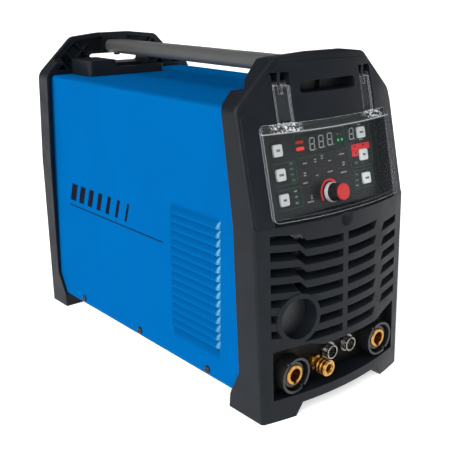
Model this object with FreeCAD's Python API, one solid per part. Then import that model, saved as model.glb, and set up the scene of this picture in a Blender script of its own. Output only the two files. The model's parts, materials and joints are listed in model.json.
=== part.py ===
import FreeCAD, Part
import math
import os

# TIG welding machine, a portable inverter power source.  Units are millimetres.
# Frame: +X to the right seen from the front, the front faces -Y, +Z is up.
# Origin: on the floor, under the middle of the machine.

V = FreeCAD.Vector

# ---- driving dimensions: outer casing ---------------------------------------------------
LENGTH = 434.4            # front of the front bezel to the back of the rear bezel
BULGE = 13.4              # how far the front face bows forward of its corners
HALF_W_FOOT = 103.5       # half width at the floor
HALF_W = 108.5            # half width from KINK_Z upwards
KINK_Z = 196.0            # below this the front leans a little, above it more
SHOULDER_Z = 304.0        # where the top corners start to slope inwards
CROWN_Z = 346.0           # where the sloping corners end
CROWN_HALF_W = 63.0
TOP_Z = 350.0
TOP_HALF_W = 24.0
LOWER_LEAN = 9.0 / 196.0
UPPER_LEAN = 0.238
FRONT_R = 380.0           # plan radius of the bowed front
REAR_R = 1500.0           # plan radius of the nearly flat back
EDGE_R = 2.5              # rounding between the front face and the sides
TOP_ROLL_R = 2.5          # rounding between the front face and the top
CORNER_R = 14.0           # rounding of the shoulder and crown corners
MARGIN_STEP = 1.2         # the margin round the upper front face lies this much deeper
CREST_DEPTH = 36.0        # from here back the top of the front bezel slopes down
CREST_FALL = 0.3
WALL = 4.0
CORNER_Y = -LENGTH / 2 + BULGE      # depth of the front bottom corners
REAR_Y = LENGTH / 2
REAR_LEAN_Z = 105.0       # the back is upright to here, then leans forward
REAR_LEAN = -0.055

FOOT_INNER_X = 66.0
FOOT_SLOPE_X = 57.0
UNDERSIDE_Z = 13.0
FLOOR_Z = 18.0            # inside floor of both bezels

COVER_HALF_W = 100.0
COVER_TOP_Z = 303.0
COVER_BOTTOM_Z = 18.5
SHEET = 1.2
COVER_GAP = 0.4

# ---- driving dimensions: front face -----------------------------------------------------
RECESS_HALF_W = 86.5
RECESS_Z0 = 197.0
RECESS_Z1 = 287.0
FASCIA_DEPTH = 18.0       # fascia plane behind the corner line, at KINK_Z
PLATE_Y = CORNER_Y + 9.5  # socket plate's front face
SLOT_HALF_W = 38.5
CARRY_BACK_Y = CORNER_Y + 41.5      # the front grip slot is blind
SLOT_Z0 = 313.0
SLOT_Z1 = 324.0
ARM_X = 58.5
ARM_W = 19.0
HINGE_Z = 321.0
HINGE_Y = CORNER_Y + 38.5
PIN_R = 1.5
COVER_X = 89.0            # clear cover half width
CLEAR_Z0 = 201.5
CLEAR_Z1 = 288.0
CLEAR_FOLD_Z = 281.0      # above the fold the clear cover slopes back to its arms
CLEAR_FOLD_BACK = 3.4
CLEAR_PROUD = 4.0
CLEAR_T = 2.0

GRILLE_PITCH = 15.4
GRILLE_TOP_Z = 174.0
SLOT_H = 8.2
GRILLE_DEPTH = 13.0
GRILLE_RISE = 0.45        # the slots climb this much per unit of depth
RING_X = -61.5
RING_Z = 103.0
RING_R = 25.2
RING_BORE_R = 20.5
DINSE_X = 63.8
DINSE_Z = 42.7
GAS_X = -25.0
GAS_Z = 40.5
CONTROL_SOCKET_Z = 46.7
CONTROL_SOCKET_XS = (-5.0, 23.5)

# ---- driving dimensions: handle, cover, rear --------------------------------------------
BAR_HALF_W = 14.2
BAR_Z0 = 325.0
BAR_Z1 = 341.0
BAR_Y0 = CORNER_Y + 37.0
BAR_Y1 = CORNER_Y + 402.0
REAR_PANEL_Y = CORNER_Y + 388.0
LOUVRE_COUNT = 15
LOUVRE_PITCH = 9.06
LOUVRE_Z0 = 60.5
LOUVRE_Y0 = CORNER_Y + 68.0
LOUVRE_Y1 = CORNER_Y + 148.0
SCREW_YS = tuple(CORNER_Y + y for y in (89.0, 213.0, 338.0))
SCREW_Z = 24.5
FAN_Z = 150.0
FAN_SIZE = 120.0


# ---- driving dimensions: smaller pieces -------------------------------------------------
FAR = 500.0               # reaches past the machine from anywhere
RIB = 2.4
RIB_SPACING = 25.0
UPPER_FLOOR_Z = 308.5     # floor of the hollow top of both bezels
PIN_L = 25.0
KNUCKLE_R = 4.0
PLATE_T = 2.5
PANEL_T = 1.5
BASE_TOP_Z = FLOOR_Z + 1.6
SCREW_R = 1.6
HANDLE_SCREW_R = 2.5
BEZEL_SCREW_X = 40.0
BEZEL_SCREW_Y0 = CORNER_Y + 34.0
BEZEL_SCREW_Y1 = CORNER_Y + 395.0
SADDLE_Y = CORNER_Y + 338.0
SADDLE_BACK_Y = CORNER_Y + 383.5
SADDLE_TOP_Z = 321.5
WINDOW_X = 84.0
WINDOW_Z0 = 36.0
WINDOW_Z1 = 276.0
LOUVRE_OUT = 2.2
LOUVRE_UP = 4.4
LOUVRE_DOWN = 3.4

# Control panel features: x, and v up the panel from its lower edge line.
BUTTON_HALF = 5.8
BUTTONS = {
    "button_left_top": (-60.0, 66.5),
    "button_left_middle": (-60.0, 43.5),
    "button_left_bottom": (-60.0, 19.5),
    "button_right_top": (60.0, 69.5),
    "button_right_middle": (60.0, 46.5),
    "button_right_bottom": (60.0, 22.0),
}
MAIN_WINDOW = (-34.5, 34.5, 57.5, 77.0)
AUX_WINDOW = (41.0, 52.5, 61.0, 77.0)
KNOB_X = 4.4
KNOB_V = 16.4
SHAFT_R = 3.0
PCB_N = -8.0              # front of the control board, behind the fascia's face

DINSE_R = 18.7
DINSE_HUB_R = 14.5
DINSE_FRONT_Y = CORNER_Y - 5.0
BRASS_R = 10.5
DINSE_BORE_R = 7.0
DINSE_BORE_L = 26.0
GAS_FRONT_Y = CORNER_Y - 13.0
GAS_BORE_R = 4.2
GAS_SLEEVE_L = 13.6
CONTROL_R = 7.5
CONTROL_PROUD = 8.5

FAN_SHAFT_R = 2.0
SWITCH_X = 50.0
SWITCH_Z = 246.0
ROCKER_TILT = 9.0
GLAND_X = -55.0
GLAND_Z = 62.0
GLAND_R = 10.0
GLAND_BORE_R = 6.5
INLET_X = 55.0
INLET_R = 6.0
INLET_TAIL_R = 4.0

DECK_Z = 98.0
SINK_Z = 132.0
PCB_Z = SINK_Z + 19.0


# ---- helpers ----------------------------------------------------------------------------
def box(x0, x1, y0, y1, z0, z1):
    return Part.makeBox(x1 - x0, y1 - y0, z1 - z0, V(x0, y0, z0))


def rod(x, y, z, direction, radius, length):
    return Part.makeCylinder(radius, length, V(x, y, z), V(*direction))


def group(shapes):
    return Part.makeCompound(shapes)


def prism(points, direction):
    wire = Part.makePolygon([V(*p) for p in points] + [V(*points[0])])
    return Part.Face(wire).extrude(V(*direction))


def prism_x(points, x0, x1):
    """Outline in (y, z), extruded along X."""
    return prism([(x0, y, z) for y, z in points], (x1 - x0, 0, 0))


def prism_y(points, y0, y1):
    """Outline in (x, z), extruded along Y."""
    return prism([(x, y0, z) for x, z in points], (0, y1 - y0, 0))


def edges_along(shape, direction):
    """Straight edges parallel to a direction."""
    unit = V(*direction)
    found = []
    for edge in shape.Edges:
        if not isinstance(edge.Curve, (Part.Line, Part.LineSegment)):
            continue
        along = (edge.Vertexes[1].Point - edge.Vertexes[0].Point).normalize()
        if abs(along.dot(unit)) > 0.999:
            found.append(edge)
    return found


def soft_box(x0, x1, y0, y1, z0, z1, direction, radius):
    """A box with its four edges along a direction rounded."""
    block = box(x0, x1, y0, y1, z0, z1)
    return block.makeFillet(radius, edges_along(block, direction))


def annulus(x, y, z, direction, outer, inner, length):
    return rod(x, y, z, direction, outer, length).cut(rod(x, y, z, direction, inner, length))


def hexagon(x, y, z, across_flats, length):
    """A hexagonal prism along +Y."""
    corner = across_flats / math.sqrt(3)
    points = []
    for i in range(6):
        turn = math.radians(60 * i)
        points.append((x + corner * math.cos(turn), z + corner * math.sin(turn)))
    return prism_y(points, y, y + length)


def pan_screw(x, y, z, direction, head_r, head_h, shank_r, shank_l):
    """Domed screw: the head stands out against the direction, the shank runs along it."""
    way = V(*direction)
    base = V(x, y, z)
    head = Part.makeCylinder(head_r, head_h, base - way * head_h, way)
    rim = [e for e in head.Edges if abs((e.CenterOfMass - (base - way * head_h)).Length) < 1e-6]
    head = head.makeFillet(head_h * 0.6, rim)
    slot_depth = head_h * 0.55
    for side in (V(way.y, way.z, way.x), V(way.z, way.x, way.y)):
        other = way.cross(side)
        corner = base - way * head_h - side * (head_r * 0.6) - other * 0.45
        pocket = Part.makeBox(head_r * 1.2, 0.9, slot_depth)
        turn = FreeCAD.Rotation(side, other, way)
        pocket.Placement = FreeCAD.Placement(corner, turn)
        head = head.cut(pocket)
    shank = Part.makeCylinder(shank_r, shank_l, base, way)
    return head.fuse(shank).removeSplitter()


def tube_path(points, radius, bend):
    """Wire of straight runs joined by tangent arcs, swept with a round section."""
    edges = []
    start = V(*points[0])
    for i in range(1, len(points) - 1):
        before, corner, after = V(*points[i - 1]), V(*points[i]), V(*points[i + 1])
        way_in = (corner - before).normalize()
        way_out = (after - corner).normalize()
        half_turn = math.acos(max(-1, min(1, way_in.dot(way_out)))) / 2
        back = bend * math.tan(half_turn)
        arc_start = corner - way_in * back
        arc_end = corner + way_out * back
        inward = (way_out - way_in).normalize()
        middle = corner + inward * (bend / math.cos(half_turn) - bend)
        edges.append(Part.LineSegment(start, arc_start).toShape())
        edges.append(Part.Arc(arc_start, middle, arc_end).toShape())
        start = arc_end
    edges.append(Part.LineSegment(start, V(*points[-1])).toShape())
    path = Part.Wire(edges)
    way = (V(*points[1]) - V(*points[0])).normalize()
    section = Part.Wire([Part.makeCircle(radius, V(*points[0]), way)])
    return path.makePipeShell([section], True, False)


def export(name, shape):
    solids = shape.Solids
    body = solids[0] if len(solids) == 1 else Part.makeCompound(solids)
    body.exportStep("parts/" + name + ".step")


# ---- casing outline ---------------------------------------------------------------------
def rounded_corner(before, corner, after, radius, steps):
    """Points on the arc that rounds a corner of an outline in (half width, z)."""
    a = V(before[0] - corner[0], before[1] - corner[1], 0).normalize()
    b = V(after[0] - corner[0], after[1] - corner[1], 0).normalize()
    half = a.getAngle(b) / 2
    reach = radius / math.tan(half)
    middle = V(corner[0], corner[1], 0) + (a + b).normalize() * (radius / math.sin(half))
    start = V(corner[0], corner[1], 0) + a * reach - middle
    end = V(corner[0], corner[1], 0) + b * reach - middle
    sweep = start.getAngle(end)
    points = []
    for i in range(steps + 1):
        t = i / steps
        p = start * (math.sin((1 - t) * sweep) / math.sin(sweep))
        p = p + end * (math.sin(t * sweep) / math.sin(sweep)) + middle
        points.append((p.x, p.y))
    return points


def casing_outline():
    """Half outline of both bezels as (half width, z), floor to top."""
    foot = (HALF_W_FOOT, 0.0)
    waist = (HALF_W, KINK_Z)
    shoulder = (HALF_W, SHOULDER_Z)
    crown = (CROWN_HALF_W, CROWN_Z)
    top = (TOP_HALF_W, TOP_Z)
    outline = [foot, waist]
    outline += rounded_corner(waist, shoulder, crown, CORNER_R, 4)
    outline += rounded_corner(shoulder, crown, top, CORNER_R, 4)
    outline.append((TOP_HALF_W + 8, TOP_Z - 8 * (TOP_Z - CROWN_Z) / (CROWN_HALF_W - TOP_HALF_W)))
    outline.append(top)
    return outline


def front_apex(z):
    """Depth of the front face on the centre line."""
    lean = LOWER_LEAN * min(z, KINK_Z) + UPPER_LEAN * max(0.0, z - KINK_Z)
    return CORNER_Y - BULGE + lean


def rear_apex(z):
    """Depth of the back face on the centre line."""
    return REAR_Y + REAR_LEAN * max(0.0, z - REAR_LEAN_Z)


def sag(x, radius):
    """How far a bowed face falls back at a distance x from its middle."""
    return radius - math.sqrt(radius * radius - x * x)


def front_face(x, z):
    return front_apex(z) + sag(x, FRONT_R)


def top_roll(z, inset):
    above = max(0.0, z - (TOP_Z - inset - TOP_ROLL_R))
    above = min(above, TOP_ROLL_R)
    return TOP_ROLL_R - math.sqrt(TOP_ROLL_R ** 2 - above ** 2)


def section(z, half_w, apex, out, radius, depth, edge_r):
    """Plan wire: bowed face, rounded edges, straight sides.  out is -1 (front) or +1 (rear)."""
    turn_x = half_w - edge_r
    face_y = apex - out * sag(turn_x, radius)
    side_y = apex - out * (sag(half_w, radius) + edge_r)
    back_y = apex - out * depth
    corner = V(half_w, apex - out * sag(half_w, radius), z)
    middle = corner + V(-0.293 * edge_r, -out * 0.293 * edge_r, 0)
    left = V(-middle.x, middle.y, z)
    arcs = [
        Part.Arc(V(-turn_x, face_y, z), V(0, apex, z), V(turn_x, face_y, z)).toShape(),
        Part.Arc(V(turn_x, face_y, z), middle, V(half_w, side_y, z)).toShape(),
        Part.LineSegment(V(half_w, side_y, z), V(half_w, back_y, z)).toShape(),
        Part.LineSegment(V(half_w, back_y, z), V(-half_w, back_y, z)).toShape(),
        Part.LineSegment(V(-half_w, back_y, z), V(-half_w, side_y, z)).toShape(),
        Part.Arc(V(-half_w, side_y, z), left, V(-turn_x, face_y, z)).toShape(),
    ]
    return Part.Wire(arcs)


def casing_block(apex_at, out, radius, inset=0.0, face_offset=0.0, edge_r=EDGE_R):
    """Solid bezel block through the casing outline.  inset shrinks it sideways and down from
    the top, face_offset moves the face inwards (or outwards if negative)."""
    wires = []
    for half_w, z in casing_outline():
        level = z - inset if z > KINK_Z else z
        apex = apex_at(level) - out * (face_offset + top_roll(level, inset))
        wires.append(section(level, half_w - inset, apex, out, radius, 110.0, edge_r))
    return Part.makeLoft(wires, True, True)


def feet_gap():
    """The space between the left and right feet."""
    points = [
        (-FOOT_INNER_X, -1.0),
        (-FOOT_SLOPE_X, UNDERSIDE_Z),
        (FOOT_SLOPE_X, UNDERSIDE_Z),
        (FOOT_INNER_X, -1.0),
    ]
    return prism_y(points, -LENGTH, LENGTH)



def plate_outline(points, x0, x1):
    """Prism along X from points given as (depth behind the front corners, z)."""
    return prism_x([(CORNER_Y + y, z) for y, z in points], x0, x1)


def behind_fascia(depth):
    """Everything further back than a plane parallel to the fascia."""
    points = []
    for z in (180.0, 310.0):
        points.append((FASCIA_DEPTH + depth + UPPER_LEAN * (z - KINK_Z), z))
    points += [(FAR, 310.0), (FAR, 180.0)]
    return plate_outline(points, -FAR, FAR)


def cover_profile(gap):
    """Side view of the cover, grown by a gap, across the whole width."""
    bottom = min(COVER_BOTTOM_Z, FLOOR_Z + 0.5) - gap
    top = COVER_TOP_Z + gap
    front = [(26.0 - gap, bottom), (32.0 - gap, KINK_Z), (54.0 - gap, top)]
    rear = [(402.0 + gap, top), (402.0 + gap, bottom)]
    return plate_outline(front + rear, -COVER_HALF_W - gap, COVER_HALF_W + gap)


def bar_shape(grow, y0, y1):
    half_w = BAR_HALF_W + grow
    return soft_box(-half_w, half_w, y0, y1, BAR_Z0 - grow, BAR_Z1 + grow, (0, 1, 0), 6.0 + grow)


def carry_slot(y0, y1):
    return soft_box(-SLOT_HALF_W, SLOT_HALF_W, y0, y1, SLOT_Z0, SLOT_Z1, (0, 1, 0), 4.0)


def front_offset(offset):
    """The front bezel's block with its face moved inwards by an offset."""
    return casing_block(front_apex, -1, FRONT_R, face_offset=offset)


def front_skin(near, far, area):
    """The layer between two offsets of the front face, inside an area."""
    return front_offset(near).common(area).cut(front_offset(far))


def x_ribs(x0, x1, z0, z1, y0, y1):
    """Diagonal cross ribs that fill a rectangle."""
    height = z1 - z0
    area = box(x0, x1, y0, y1, z0, z1)
    ribs = []
    start = x0 - height
    while start < x1:
        for a, b in ((start, start + height), (start + height, start)):
            points = [(a, z0), (a + RIB, z0), (b + RIB, z1), (b, z1)]
            ribs.append(prism_y(points, y0, y1).common(area))
        start += RIB_SPACING
    return ribs


def upper_backing(y0, y1):
    """Ribs, slot sleeve and handle socket inside the hollow top of a bezel."""
    parts = x_ribs(-104, -SLOT_HALF_W - 3, UPPER_FLOOR_Z, TOP_Z, y0, y1)
    parts += x_ribs(SLOT_HALF_W + 3, 104, UPPER_FLOOR_Z, TOP_Z, y0, y1)
    parts.append(box(-SLOT_HALF_W - 3, SLOT_HALF_W + 3, y0, y1, SLOT_Z0 - 5, SLOT_Z1 + 3))
    parts.append(box(-BAR_HALF_W - 4, BAR_HALF_W + 4, y0, y1, SLOT_Z0, TOP_Z))
    return parts


# ---- front bezel ------------------------------------------------------------------------
def grille_slots():
    """Outlines of the slots in (x, z) as seen from the front."""
    slots = []
    for row in range(7):
        top = GRILLE_TOP_Z - GRILLE_PITCH * row
        low = top - SLOT_H
        if row < 4:
            left = [(-92.5, top + 6.5), (-60.0, top + 6.5), (-52.5, top), (-4.0, top)]
            left += [(-4.0, low), (-54.0, low), (-61.5, low + 6.0), (-92.5, low + 6.0)]
            slots.append(left)
        else:
            slots.append([(-64.0, top), (-4.0, top), (-4.0, low), (-64.0, low)])
            slots.append([(-92.5, top + 7), (-66, top + 7), (-66, low + 7.5), (-92.5, low + 7.5)])
        slots.append([(3.0, top), (51.0, top), (46.5, low), (3.0, low)])
        if row < 6:
            side = top - 7.0
            slots.append([(65.0, side), (91.0, side), (91.0, side - SLOT_H), (59.5, side - SLOT_H)])
    return slots


def pocket_outline(grow=0.0):
    """The connector pocket at the bottom of the front face, in (x, z)."""
    g = grow
    points = [(-91.0 - g, 23.0 - g), (90.0 + g, 23.0 - g), (90.0 + g, 79.0 + g)]
    points += [(64.0 - g * 0.4, 73.0 + g), (52.0, 68.0 + g), (-30.0, 68.0 + g)]
    points += [(-48.0, 74.0 + g), (-78.0, 75.0 + g), (-91.0 - g, 74.0 + g)]
    return points


def front_rear_edge():
    """Side view of the front bezel's rear edge; everything in front of it is kept."""
    rear = [(50, -1), (48.5, 15), (46, 21), (34.5, 44), (40, KINK_Z), (56, 297), (60, 317)]
    rear += [(45.5, 320), (53.5, 328), (57.5, 345), (57.5, 360)]
    return plate_outline(rear + [(-FAR, 360), (-FAR, -1)], -FAR, FAR)


def upper_margin():
    """Thin layer of the front face outside the raised middle of its upper part."""
    middle = [(-105.0, KINK_Z + 1.5), (105.0, KINK_Z + 1.5), (105.0, 296.0), (60.0, 340.5), (0.0, 341.8)]
    middle += [(-60.0, 340.5), (-105.0, 296.0)]
    whole = box(-FAR, FAR, -FAR, 0, KINK_Z + 1.5, FAR)
    return front_skin(-1.0, MARGIN_STEP, whole.cut(prism_y(middle, -FAR, FAR)))


def above_crest(drop):
    """Everything above the sloping top of the front bezel, lowered by a drop."""
    low_z = TOP_Z + 0.2 - CREST_FALL * 30 - drop
    points = [(CREST_DEPTH, TOP_Z + 0.2 - drop), (CREST_DEPTH + 30, low_z), (CREST_DEPTH + 30, FAR)]
    return plate_outline(points + [(CREST_DEPTH, FAR)], -FAR, FAR)


def front_backing():
    """Walls that stand behind the front skin, before anything is cut through them."""
    wall = 3.0
    recess = box(-RECESS_HALF_W - wall, RECESS_HALF_W + wall, -FAR, 0, RECESS_Z0 - wall, RECESS_Z1 + wall)
    slats = front_skin(0.0, GRILLE_DEPTH, box(-96, 94, -FAR, 0, 76, 184))
    slats = slats.cut(box(-FAR, FAR, PLATE_Y, FAR, 0, 84))
    backing = [
        recess.cut(behind_fascia(3.5)),
        slats,
        rod(RING_X, -FAR, RING_Z, (0, 1, 0), RING_R, FAR + PLATE_Y),
        prism_y(pocket_outline(wall), -FAR, PLATE_Y),
    ]
    for side in (-1, 1):
        x = side * ARM_X
        half = ARM_W / 2 + 4
        backing.append(box(x - half, x + half, -FAR, HINGE_Y + 8.5, 286, 337))
    return backing + upper_backing(-FAR, 0)


def hinge_tools(side):
    """Channel for a cover arm, the pocket at its top, and the pin hole."""
    x = side * ARM_X
    half = ARM_W / 2 + 1
    channel = front_skin(-5.0, 7.0, box(x - half, x + half, -FAR, 0, RECESS_Z1 - 4, HINGE_Z))
    pocket = box(x - half, x + half, -FAR, HINGE_Y + 5.5, HINGE_Z - 7, HINGE_Z + 12)
    rib = box(x - 1.7, x + 1.7, HINGE_Y - 4, FAR, 200, 340)
    pin = rod(x - PIN_L / 2, HINGE_Y, HINGE_Z, (1, 0, 0), PIN_R, PIN_L)
    return [channel, pocket.cut(rib), pin]


def front_bezel():
    block = front_offset(0.0)
    inner = casing_block(front_apex, -1, FRONT_R, inset=3.2, face_offset=WALL, edge_r=6.0)
    inner = inner.common(box(-FAR, FAR, -FAR, FAR, FLOOR_Z, COVER_TOP_Z + COVER_GAP))
    upper = casing_block(front_apex, -1, FRONT_R, inset=5.0, face_offset=5.0, edge_r=5.0)
    upper = upper.common(box(-FAR, FAR, -FAR, FAR, UPPER_FLOOR_Z, FAR)).cut(above_crest(3.5))
    shell = block.cut([inner, upper])
    backing = [piece.common(block) for piece in front_backing()]
    ring = annulus(RING_X, -FAR, RING_Z, (0, 1, 0), RING_R, RING_BORE_R, FAR + PLATE_Y)
    backing.append(ring.common(front_offset(-1.2)))
    solid = shell.multiFuse(backing).common(front_rear_edge())
    solid = solid.fuse(rod(0, BAR_Y0 + 7, SLOT_Z0 - 1, (0, 0, 1), 6.8, SLOT_Z1 - SLOT_Z0 + 2))

    open_w = RECESS_HALF_W - 4
    recess = box(-RECESS_HALF_W, RECESS_HALF_W, -FAR, 0, RECESS_Z0, RECESS_Z1)
    notch_y = front_face(0, CLEAR_Z0 - 8) - 8
    tools = [
        feet_gap(),
        cover_profile(COVER_GAP),
        recess.cut(behind_fascia(2.1)),
        box(-open_w, open_w, -FAR, 0, RECESS_Z0 + 4, RECESS_Z1 - 4),
        Part.makeSphere(12.0, V(1, notch_y, CLEAR_Z0 - 8)),
        rod(RING_X, -FAR, RING_Z, (0, 1, 0), RING_BORE_R, FAR),
        prism_y(pocket_outline(), -FAR, 0),
        rod(RING_X, PLATE_Y, RING_Z, (0, 1, 0), RING_R - 0.8, FAR),
        carry_slot(-FAR, CARRY_BACK_Y),
        rod(0, BAR_Y0 + 7, SLOT_Z0, (0, 0, 1), 4.6, SLOT_Z1 - SLOT_Z0),
        upper_margin(),
        above_crest(0.0),
        bar_shape(0.3, BAR_Y0 - 0.3, 0),
    ]
    keep = rod(RING_X, -FAR, RING_Z, (0, 1, 0), RING_R, 2 * FAR)
    climb = 60.0
    for outline in grille_slots():
        start = [(x, REAR_Y * -1 - 13, z - 12 * GRILLE_RISE) for x, z in outline]
        tools.append(prism(start, (0, climb, climb * GRILLE_RISE)).cut(keep))
    for side in (-1, 1):
        tools += hinge_tools(side)
        tools.append(rod(side * BEZEL_SCREW_X, BEZEL_SCREW_Y0, 0, (0, 0, 1), SCREW_R, 30))
    tools.append(rod(0, BAR_Y0 + 7, SLOT_Z0 + 5, (0, 0, 1), HANDLE_SCREW_R, 15))
    return solid.cut(tools)


# ---- rear bezel -------------------------------------------------------------------------
def rear_front_edge():
    """Side view of the rear bezel's front edge; everything behind it is kept."""
    front = [(380, -1), (381, 15), (383.5, 21), (395.5, 44), (392.8, 110), (383.3, 302)]
    front += [(383, 317), (399, 321), (397, 360)]
    return plate_outline(front + [(2 * FAR, 360), (2 * FAR, -1)], -FAR, FAR)


def rear_screw_places():
    return [(side * 93.0, z) for side in (-1, 1) for z in (62.0, 262.0)]


def rear_bezel():
    block = casing_block(rear_apex, 1, REAR_R)
    inner = casing_block(rear_apex, 1, REAR_R, inset=3.2, face_offset=WALL, edge_r=6.0)
    inner = inner.common(box(-FAR, FAR, -FAR, FAR, FLOOR_Z, COVER_TOP_Z + COVER_GAP))
    upper = casing_block(rear_apex, 1, REAR_R, inset=5.0, face_offset=5.0, edge_r=5.0)
    upper = upper.common(box(-FAR, FAR, -FAR, FAR, UPPER_FLOOR_Z, FAR))
    shell = block.cut([inner, upper])
    panel_back = REAR_PANEL_Y + PANEL_T
    backing = [box(-WINDOW_X - 4, WINDOW_X + 4, panel_back, FAR, WINDOW_Z0 - 4, WINDOW_Z1 + 4)]
    for x, z in rear_screw_places():
        backing.append(rod(x, panel_back, z, (0, 1, 0), 6.5, FAR))
    backing += upper_backing(0, FAR)
    solid = shell.multiFuse([piece.common(block) for piece in backing])
    solid = solid.common(rear_front_edge())
    foot_z = COVER_TOP_Z + 0.2
    saddle = soft_box(-75, 34, SADDLE_Y, SADDLE_BACK_Y, foot_z, SADDLE_TOP_Z, (0, 0, 1), 5.0)
    hollow = soft_box(-72, 31, SADDLE_Y + 3, SADDLE_BACK_Y - 3, foot_z - 1, SADDLE_TOP_Z - 3, (0, 0, 1), 3.0)
    bridge = box(-70, 30, SADDLE_BACK_Y - 2, SADDLE_BACK_Y + 18, foot_z, SLOT_Z0 + 1)
    solid = solid.multiFuse([saddle.cut(hollow), bridge])

    tools = [
        feet_gap(),
        cover_profile(COVER_GAP),
        soft_box(-WINDOW_X, WINDOW_X, 0, FAR, WINDOW_Z0, WINDOW_Z1, (0, 1, 0), 6.0),
        carry_slot(0, FAR),
        bar_shape(0.3, 0, BAR_Y1 + 0.3),
    ]
    for x, z in rear_screw_places():
        tools.append(rod(x, 0, z, (0, 1, 0), SCREW_R, FAR))
        tools.append(rod(x, rear_apex(z) - 3.2, z, (0, 1, 0), 4.6, 20))
    for side in (-1, 1):
        tools.append(rod(side * BEZEL_SCREW_X, BEZEL_SCREW_Y1, 0, (0, 0, 1), SCREW_R, 30))
    tools.append(rod(0, BAR_Y1 - 7, SLOT_Z0 + 5, (0, 0, 1), HANDLE_SCREW_R, 15))
    return solid.cut(tools)


# ---- sheet metal ------------------------------------------------------------------------
def louvre_zs():
    return [LOUVRE_Z0 + LOUVRE_PITCH * i for i in range(LOUVRE_COUNT)]


def louvre_hood(side, z, grow):
    """Pressed hood of a louvre: a wedge on the side sheet.  Grown inwards it is the throat."""
    x = side * COVER_HALF_W
    inside = x - side * 2
    lip = x + side * (LOUVRE_OUT - grow)
    top = z + LOUVRE_UP - grow * 2.5
    low = z - LOUVRE_DOWN
    if grow:
        profile = [(inside, top), (x, top), (lip, low), (lip, low - 1), (inside, low - 1)]
    else:
        profile = [(x - side * 0.4, top), (x, top), (lip, low), (x - side * 0.4, low)]
    ends = grow * 1.2
    return prism_y(profile, LOUVRE_Y0 + ends, LOUVRE_Y1 - ends)


def cover():
    outer = soft_box(-COVER_HALF_W, COVER_HALF_W, -FAR, FAR, -60, COVER_TOP_Z, (0, 1, 0), 3.0)
    inner_w = COVER_HALF_W - SHEET
    inner = soft_box(-inner_w, inner_w, -FAR, FAR, -90, COVER_TOP_Z - SHEET, (0, 1, 0), 3.0 - SHEET)
    shell = outer.cut(inner).common(cover_profile(0.0))
    hoods = []
    throats = []
    for side in (-1, 1):
        for z in louvre_zs():
            hoods.append(louvre_hood(side, z, 0.0))
            throats.append(louvre_hood(side, z, 0.8))
    shell = shell.multiFuse(hoods).cut(throats)
    holes = [rod(-FAR, y, SCREW_Z, (1, 0, 0), SCREW_R, 2 * FAR) for y in SCREW_YS]
    return shell.cut(holes)


def base_plate():
    half_w = COVER_HALF_W - SHEET - 0.2
    y0, y1 = CORNER_Y + 30, CORNER_Y + 400
    tray = box(-half_w, half_w, y0, y1, FLOOR_Z + 0.1, FLOOR_Z + 26)
    tray = tray.cut(box(-half_w + 1.5, half_w - 1.5, y0 - 1, y1 + 1, BASE_TOP_Z, 90))
    holes = [rod(-FAR, y, SCREW_Z, (1, 0, 0), SCREW_R, 2 * FAR) for y in SCREW_YS]
    for side in (-1, 1):
        for y in (BEZEL_SCREW_Y0, BEZEL_SCREW_Y1):
            holes.append(rod(side * BEZEL_SCREW_X, y, 0, (0, 0, 1), SCREW_R, 30))
    for i in range(7):
        y = CORNER_Y + 150 + i * 9
        holes.append(soft_box(-30, 30, y, y + 4, 0, 30, (0, 0, 1), 1.9))
    return tray.cut(holes)


def rear_panel():
    sheet = box(-96, 96, REAR_PANEL_Y, REAR_PANEL_Y + PANEL_T, BASE_TOP_Z + 0.2, 298)
    holes = [rod(0, 0, FAN_Z, (0, 1, 0), FAN_SIZE / 2 - 3, FAR)]
    for x, z in fan_corners():
        holes.append(rod(x, 0, z, (0, 1, 0), 2.0, FAR))
    for x, z in rear_screw_places():
        holes.append(rod(x, 0, z, (0, 1, 0), SCREW_R, FAR))
    holes.append(box(SWITCH_X - 14, SWITCH_X + 14, 0, FAR, SWITCH_Z - 10, SWITCH_Z + 10))
    holes.append(rod(GLAND_X, 0, GLAND_Z, (0, 1, 0), GLAND_R, FAR))
    holes.append(rod(INLET_X, 0, GLAND_Z, (0, 1, 0), INLET_R, FAR))
    return sheet.cut(holes)


def socket_plate():
    outline = [(-95, 20), (95, 20), (95, 81), (60, 81), (-30, 72), (-50, 77), (-95, 77)]
    sheet = prism_y(outline, PLATE_Y, PLATE_Y + PLATE_T)
    holes = [rod(GAS_X, -FAR, GAS_Z, (0, 1, 0), 5.0, 2 * FAR)]
    for side in (-1, 1):
        holes.append(rod(side * DINSE_X, -FAR, DINSE_Z, (0, 1, 0), DINSE_HUB_R, 2 * FAR))
    for x in CONTROL_SOCKET_XS:
        holes.append(rod(x, -FAR, CONTROL_SOCKET_Z, (0, 1, 0), CONTROL_R, 2 * FAR))
    return sheet.cut(holes)


def blanking_disc():
    disc = rod(RING_X, PLATE_Y, RING_Z, (0, 1, 0), RING_R - 1, 2.0)
    lift = rod(RING_X, PLATE_Y - 2.0, RING_Z, (0, 1, 0), RING_BORE_R - 0.2, 2.0)
    disc = disc.cut(box(-FAR, FAR, -FAR, FAR, 0, 81.2))
    return disc.fuse(lift).removeSplitter()


# ---- handle and fasteners ---------------------------------------------------------------
def handle_bar():
    inner = bar_shape(-2.0, BAR_Y0 - 1, BAR_Y1 + 1)
    bar = bar_shape(0.0, BAR_Y0, BAR_Y1).cut(inner)
    plugs = [bar_shape(-2.0, BAR_Y0, BAR_Y0 + 16), bar_shape(-2.0, BAR_Y1 - 16, BAR_Y1)]
    holes = [rod(0, y, 300, (0, 0, 1), HANDLE_SCREW_R, 34) for y in (BAR_Y0 + 7, BAR_Y1 - 7)]
    return bar.multiFuse(plugs).removeSplitter().cut(holes)


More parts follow.
